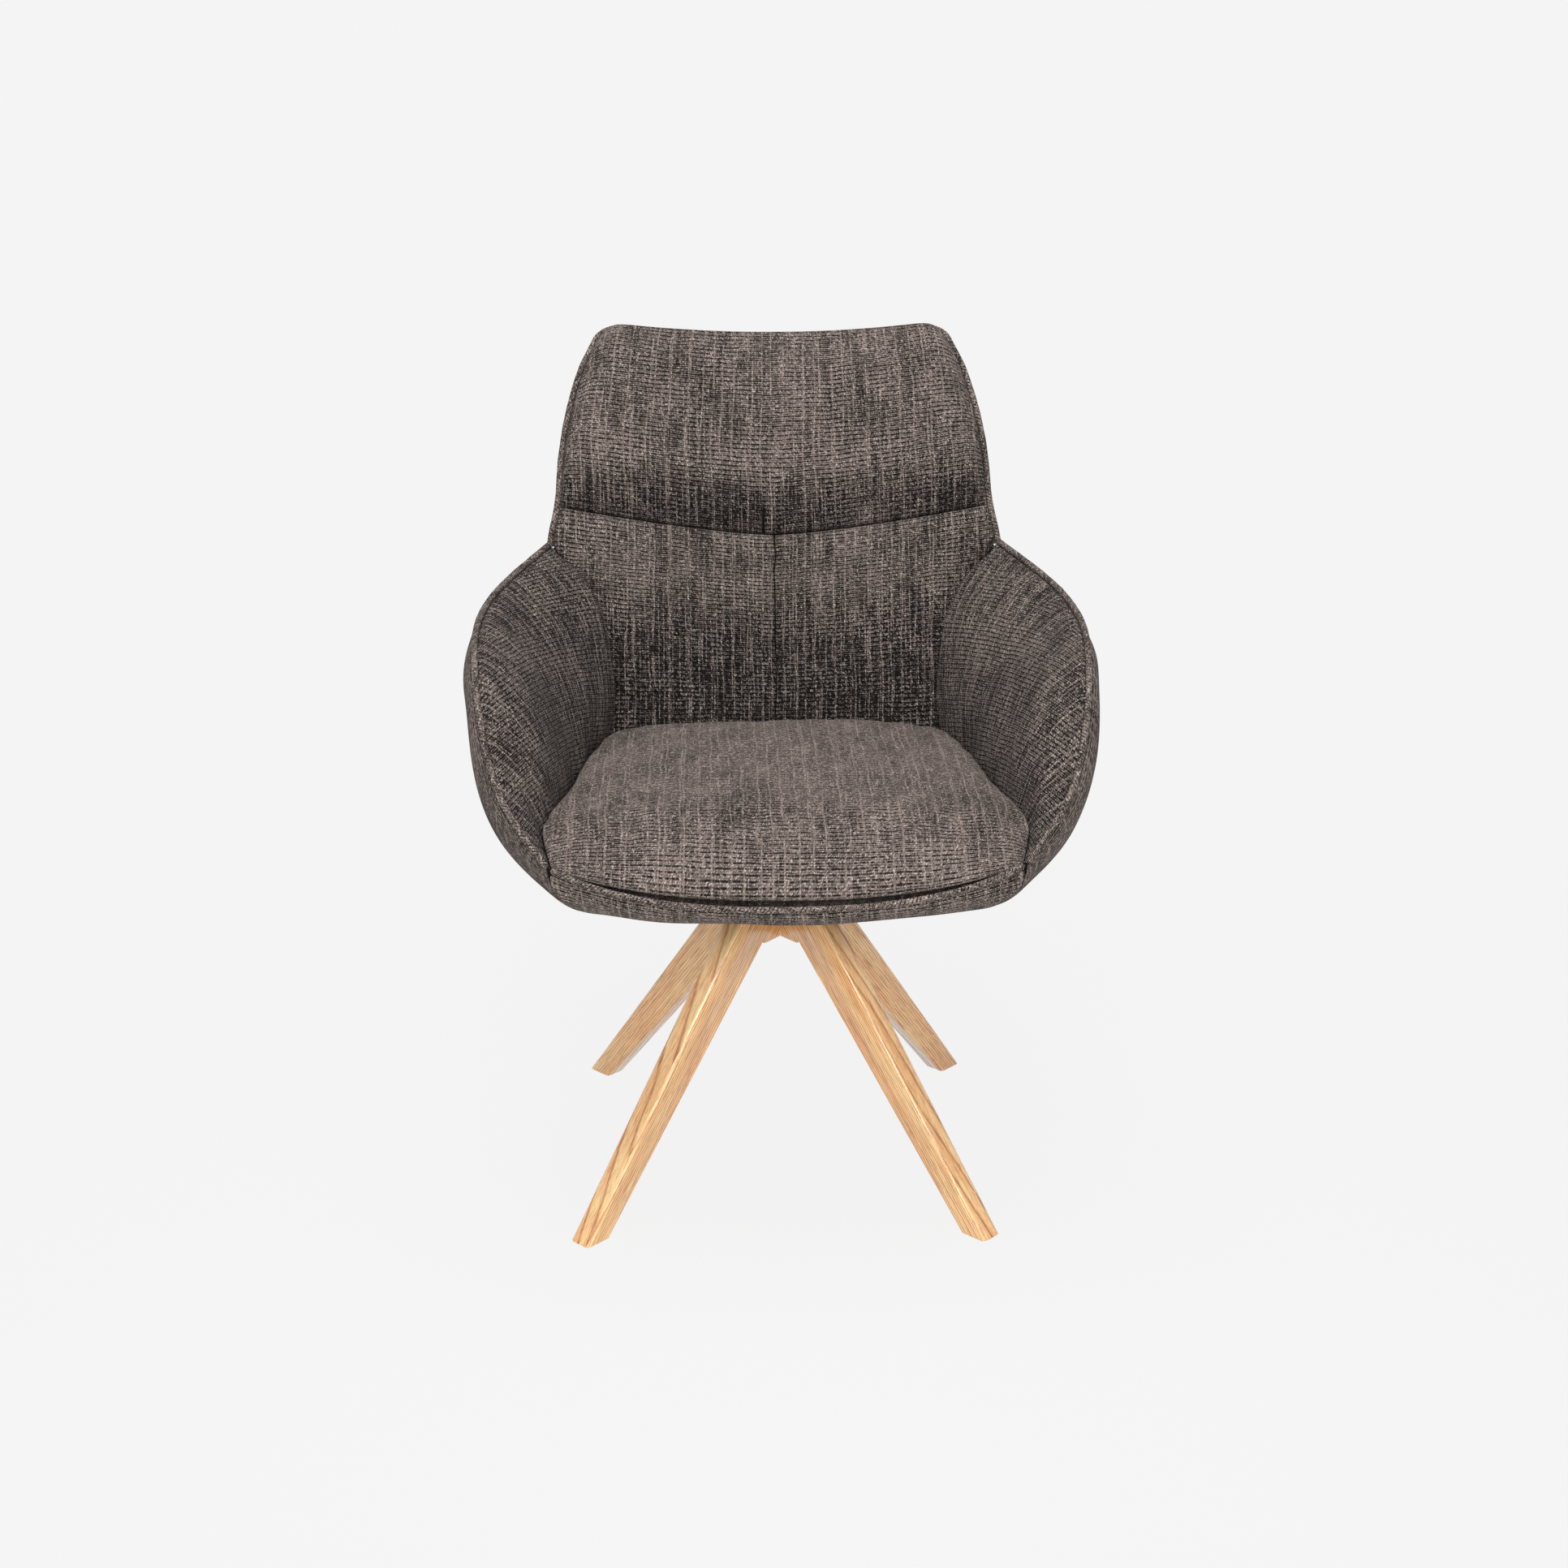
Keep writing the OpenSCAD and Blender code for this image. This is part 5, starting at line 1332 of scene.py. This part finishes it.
def makeOakGrain():
    tree, given, result = newGroup("oak grain", "Place", ["Ring pitch"], ["Pale", "Warm", "Pore"])
    times, over, minus, timesPlus = sumsIn(tree)
    along, a, b = [times(part, 1000.0) for part in axes(tree, given["Place"])]

    def grain(sizeName, **settings):
        size = oak[sizeName]
        return noiseOf(tree, over(along, size[0]), over(a, size[1]), over(b, size[1]), **settings)

    def squared(value, shift):
        return calc(tree, "POWER", calc(tree, "ADD", value, shift), 2.0)

    far = calc(tree, "ADD", squared(a, oak["pith"][0]), squared(b, oak["pith"][1]))
    far = calc(tree, "POWER", far, 0.5)
    rings = timesPlus(grain("driftSize", detail=1.0), oak["drift"], over(far, given["Ring pitch"]))
    inRing = calc(tree, "FRACT", rings)
    early, late = step(tree, inRing, *oak["earlyLimits"]), step(tree, inRing, *oak["lateLimits"])
    pores = grain("poreSize", detail=2.0, roughness=0.6)
    pore = step(tree, timesPlus(early, oak["poreEarly"], pores), *oak["poreLimits"])
    streak = grain("streakSize", detail=2.0)
    warmth = timesPlus(late, oak["late"], times(early, oak["early"]))
    warmth = timesPlus(minus(streak, 0.5), oak["streak"], warmth)
    warmth = timesPlus(minus(grain("broadSize", detail=1.0), 0.5), oak["broad"], warmth)
    warmth = calc(tree, "ADD", warmth, oak["warmth"], clamp=True)
    color = blendColors(tree, warmth, given["Pale"], given["Warm"])
    dark = timesPlus(pore, oak["poreShare"], times(early, oak["earlyDark"]))
    plug(tree, result, {
        "Color": blendColors(tree, dark, color, given["Pore"]),
        "Height": minus(0.5, times(pore, oak["poreDepth"])),
        "Roughness": timesPlus(pore, oak["poreRough"], timesPlus(streak, oak["streakRough"], oak["rough"])),
    })
    return tree


# Fine handling marks and uneven tone for metal, plastic, foam and board
wear = {"fine": 9.0, "fineShare": 0.4, "cloudShare": 0.8, "limits": (0.50, 0.78), "bumpStrength": 0.5}


def makeSurfaceWear():
    tree, given, result = newGroup(
        "surface wear", "Place", ["Size", "Rough low", "Rough high"], ["Base", "Worn"])
    times, over, minus, timesPlus = sumsIn(tree)
    spots = [over(times(part, 1000.0), given["Size"]) for part in axes(tree, given["Place"])]
    cloud = noiseOf(tree, *spots, detail=3.0)
    fine = noiseOf(tree, *[times(spot, wear["fine"]) for spot in spots], detail=2.0)
    worn = step(tree, timesPlus(fine, wear["fineShare"], times(cloud, wear["cloudShare"])), *wear["limits"])
    spread = minus(given["Rough high"], given["Rough low"])
    plug(tree, result, {
        "Color": blendColors(tree, worn, given["Base"], given["Worn"]),
        "Height": fine,
        "Roughness": timesPlus(cloud, spread, given["Rough low"]),
    })
    return tree


ribWeave, oakGrain, surfaceWear = makeRibWeave(), makeOakGrain(), makeSurfaceWear()


def newMaterial(name, sockets):
    material = bpy.data.materials.new(name)
    material.use_nodes = True
    tree = material.node_tree
    shader = tree.nodes["Principled BSDF"]
    plug(tree, shader.inputs, sockets)
    return material, tree, shader


def finishWith(tree, shader, group, inputs, bumpDistance, bumpStrength=1.0):
    made = addNode(tree, "ShaderNodeGroup", inputs, node_tree=group).outputs
    relief = {"Height": made["Height"], "Distance": bumpDistance, "Strength": bumpStrength}
    normal = addNode(tree, "ShaderNodeBump", relief).outputs["Normal"]
    plug(tree, shader.inputs, {"Base Color": made["Color"], "Roughness": made["Roughness"], "Normal": normal})


# the fleck colour is pale yarn and painted sheen highlight at once
fabric = {
    "pale": srgb(128, 114, 107), "dark": srgb(7, 5, 4), "fleckAndSheen": srgb(214, 203, 196),
    "ribPitch": 4.8, "warpGap": 11.0, "bump": 0.0014, "sheen": 0.02, "sheenRough": 0.6, "specular": 0.12,
    "creaseLimits": (0.0010, 0.0026, 0.95, 0.0),
}


def fabricMaterial(name, pressedAndShade, band=None, crease=None, **own):
    # band: between two heights up the cloth the pile goes from pressed, its third value, to free; on the back
    # pads the band paints shade
    # crease: a painted shadow line where a dart's sides meet, its place and the heights where it fades
    look = {**fabric, **own}
    material, tree, shader = newMaterial(name, {
        "Sheen Weight": look["sheen"], "Sheen Roughness": look["sheenRough"],
        "Specular IOR Level": look["specular"],
    })
    surface = addNode(tree, "ShaderNodeUVMap", uv_map="weave").outputs["UV"]
    if band:
        pressedAndShade = step(tree, axes(tree, surface)["Y"], *band, pressedAndShade)
    pale, dark, fleckAndSheen = look["pale"], look["dark"], look["fleckAndSheen"]
    # painted shadow: a dark line blended into the cloth's colours down the dart's groove
    if crease:
        place = axes(tree, addNode(tree, "ShaderNodeTexCoord").outputs["Object"])
        aside = calc(tree, "ABSOLUTE", calc(tree, "SUBTRACT", place["X"], crease[0]))
        upright = step(tree, place["Z"], crease[1], crease[2], 1.0, 0.0)
        dartShadowMask = calc(tree, "MULTIPLY", step(tree, aside, *look["creaseLimits"]), upright)
        pale, fleckAndSheen = blendColors(tree, dartShadowMask, pale, dark), blendColors(tree, dartShadowMask, fleckAndSheen, dark)
    finishWith(tree, shader, ribWeave, {
        "Surface": surface, "Rib pitch": look["ribPitch"], "Warp gap": look["warpGap"], "Pressed and shade": pressedAndShade,
        "Pale": pale, "Dark": dark, "Fleck and sheen": fleckAndSheen,
    }, look["bump"])
    return material


def legMaterial(name, turnDegrees, seed):
    material, tree, shader = newMaterial(name, {
        "Coat Weight": oak["coat"], "Coat Roughness": oak["coatRough"], "Specular IOR Level": oak["specular"],
    })
    # the grain runs down the leg: the mapping lays the leg's own direction along X
    lean, around = math.radians(oak["lean"] - 90), -math.radians(turnDegrees)
    tilt = Matrix.Rotation(lean, 3, "Y") @ Matrix.Rotation(around, 3, "Z")
    mapped = addNode(tree, "ShaderNodeMapping", {
        "Vector": addNode(tree, "ShaderNodeTexCoord").outputs["Object"],
        "Rotation": tilt.to_euler("XYZ"), "Location": [part * seed for part in oak["cut"]],
    })
    finishWith(tree, shader, oakGrain, {
        "Place": mapped.outputs[0], "Ring pitch": oak["ringPitch"],
        "Pale": oak["pale"], "Warm": oak["warm"], "Pore": oak["pore"],
    }, oak["bump"], oak["bumpStrength"])
    return material


def wornMaterial(name, base, worn, size, rough, bump, metallic=0.0):
    material, tree, shader = newMaterial(name, {"Metallic": metallic})
    finishWith(tree, shader, surfaceWear, {
        "Place": addNode(tree, "ShaderNodeTexCoord").outputs["Object"], "Size": size,
        "Base": srgb(*base), "Worn": srgb(*worn), "Rough low": rough[0], "Rough high": rough[1],
    }, bump, wear["bumpStrength"])
    return material


def setMaterial(piece, material):
    piece.data.materials.clear()
    piece.data.materials.append(material)


# The cloth of each piece, by how far its pile is pressed, which on the back pads and the arms also paints
# shade
# pressed pile and painted shade: the lower back pads are dark overall and darker still toward the seat, where
# shade falls in the crease between seat and back
lowShadeBand = (-0.245, -0.050, 1.66)
# painted shadow down the upper pad's dart, over its real groove
upperDartShadow = (upperPad["dartShift"], 0.670, 0.692)
cloths = {
    "upper back cloth": (
        # painted shade: the upper back's cloth darkens in a band just over the cross seam, under the pad's
        # bulge
        ["upper_back_pad"], {"pressedAndShade": 0.26, "band": (0.020, 0.085, 0.90), "crease": upperDartShadow}),
    "lower left back cloth": (["lower_left_back_pad"], {"pressedAndShade": 0.46, "band": lowShadeBand}),
    "lower right back cloth": (["lower_right_back_pad"], {"pressedAndShade": 0.42, "band": lowShadeBand}),
    "seat cloth": (["seat_cushion"], {"pressedAndShade": 0.16, "band": (0.58, 0.80, 0.0)}),
    # pressed pile and painted shade: the arms' cloth is darkened, the left more than the right, for how the
    # light falls on them
    "left arm cloth": (["left_arm_pad"], {"pressedAndShade": 0.80, "warpGap": 9.0}),
    "right arm cloth": (["right_arm_pad"], {"pressedAndShade": 0.66, "warpGap": 9.0}),
    "outside cloth": (
        ["left_side_cover", "right_side_cover", "rear_cover", "front_apron"], {"pressedAndShade": 0.12}),
    "piping cloth": (
        ["back_piping", "left_arm_piping", "right_arm_piping", "front_piping"],
        {"pressedAndShade": 0.30, "ribPitch": 3.4, "bump": 0.0005}),
}
for name, (nodes, look) in cloths.items():
    made = fabricMaterial(name, **look)
    for node in nodes:
        setMaterial(pieces[node], made)
for seed, (node, turnDegrees) in enumerate(legs.items()):
    setMaterial(pieces[node], legMaterial("oak " + node.replace("_", " "), turnDegrees, seed + 1))

# The other slots: name, colour, worn colour, size of the marks in mm, roughness, bump and metallic
finishes = {
    "foam": ("cut foam", (226, 212, 160), (206, 188, 132), 3.0, (0.85, 0.95), 0.0008),
    "webbing": ("elastic webbing", (38, 38, 40), (60, 60, 62), 1.2, (0.7, 0.85), 0.0004),
    "dust_cloth": ("underside cloth", (26, 26, 27), (44, 44, 46), 1.5, (0.8, 0.95), 0.0002),
    "steel": ("zinc plated steel", (176, 178, 182), (150, 152, 158), 9.0, (0.28, 0.45), 0.00005, 1.0),
    "bearing_steel": ("bearing steel", (190, 192, 196), (170, 172, 178), 6.0, (0.10, 0.20), 0.00002, 1.0),
    "brass_cage": ("brass", (198, 168, 96), (168, 138, 76), 7.0, (0.25, 0.4), 0.00004, 1.0),
    "black_steel": ("black powder coat", (28, 28, 30), (46, 46, 48), 2.0, (0.45, 0.6), 0.0001),
    "plywood": ("birch plywood", (214, 186, 142), (186, 152, 106), 11.0, (0.55, 0.75), 0.0001),
    "dowel_wood": ("beech", (222, 190, 150), (200, 164, 122), 5.0, (0.5, 0.65), 0.00008),
    "glide_plastic": ("glide plastic", (30, 30, 31), (48, 48, 50), 3.0, (0.4, 0.6), 0.00005),
}
slotFinishes = {slotName: wornMaterial(*finish) for slotName, finish in finishes.items()}
for row in frame["record"]["subparts"]:
    node, slotName = row["node"], row["material_slot"]
    if slotName in slotFinishes:
        setMaterial(pieces[node] if node in pieces else frame["nodes"][node], slotFinishes[slotName])
print("materials set")

# Floor, daylight and lamps
studio = {"backdrop": 0.9047, "floorSize": 24.0, "world": 0.28, "shadow": 0.035, "shadowReach": (0.5, 1.5)}
# place, aim, power in watts, width and height
lamps = {
    "overhead lamp": ((-0.15, -0.45, 2.9), (0, 0, 0.5), 56.0, 1.5, 1.5),
    "front lamp": ((0.5, -3.0, 0.9), (0, 0, 0.25), 4.0, 1.6, 1.6),
    "glint lamp": ((0.0, -2.35, 1.50), (0, -0.16, 0.15), 46.0, 2.4, 0.62),
}


def seenRays(tree):
    # 1 for what the camera sees, straight or in a shiny or clear surface, and 0 for daylight
    rays = addNode(tree, "ShaderNodeLightPath").outputs
    indirect = calc(tree, "MAXIMUM", rays["Is Glossy Ray"], rays["Is Transmission Ray"])
    return calc(tree, "MAXIMUM", rays["Is Camera Ray"], indirect)


bpy.ops.object.select_all(action="DESELECT")
bpy.ops.mesh.primitive_plane_add(size=studio["floorSize"])
floor = bpy.context.object
floor.name = "floor"
floorMaterial = bpy.data.materials.new("pale floor")
floorMaterial.use_nodes = True
tree = floorMaterial.node_tree
tree.nodes.remove(tree.nodes["Principled BSDF"])
floorColor = (*[studio["backdrop"]] * 3, 1)
plain = addNode(tree, "ShaderNodeEmission", {"Color": floorColor, "Strength": 1.0}).outputs[0]
matte = addNode(tree, "ShaderNodeBsdfDiffuse", {"Color": floorColor}).outputs[0]
# the shadow shows round the chair, and further out the floor is as pale as the backdrop
place = addNode(tree, "ShaderNodeTexCoord").outputs["Object"]
fromChair = addNode(tree, "ShaderNodeVectorMath", {0: place}, operation="LENGTH").outputs["Value"]
share = step(tree, fromChair, *studio["shadowReach"], studio["shadow"], 0.0)
shown = addNode(tree, "ShaderNodeMixShader", {0: share, 1: plain, 2: matte}).outputs[0]
floorOut = addNode(tree, "ShaderNodeMixShader", {0: seenRays(tree), 1: matte, 2: shown}).outputs[0]
tree.links.new(floorOut, tree.nodes["Material Output"].inputs["Surface"])
setMaterial(floor, floorMaterial)

world = bpy.data.worlds.new("studio")
scene.world = world
world.use_nodes = True
tree = world.node_tree
levels = {0: seenRays(tree), 2: studio["world"], 3: studio["backdrop"]}
strength = addNode(tree, "ShaderNodeMix", levels, data_type="FLOAT").outputs[0]
plug(tree, tree.nodes["Background"].inputs, {"Color": (1, 1, 1, 1), "Strength": strength})

for name, (place, target, power, wide, high) in lamps.items():
    bpy.ops.object.light_add(type="AREA", location=place)
    lamp = bpy.context.object
    lamp.name = name
    lamp.data.shape = "RECTANGLE"
    lamp.data.size, lamp.data.size_y, lamp.data.energy = wide, high, power
    lamp.rotation_euler = (Vector(target) - Vector(place)).to_track_quat("-Z", "Y").to_euler()
print("studio lit")
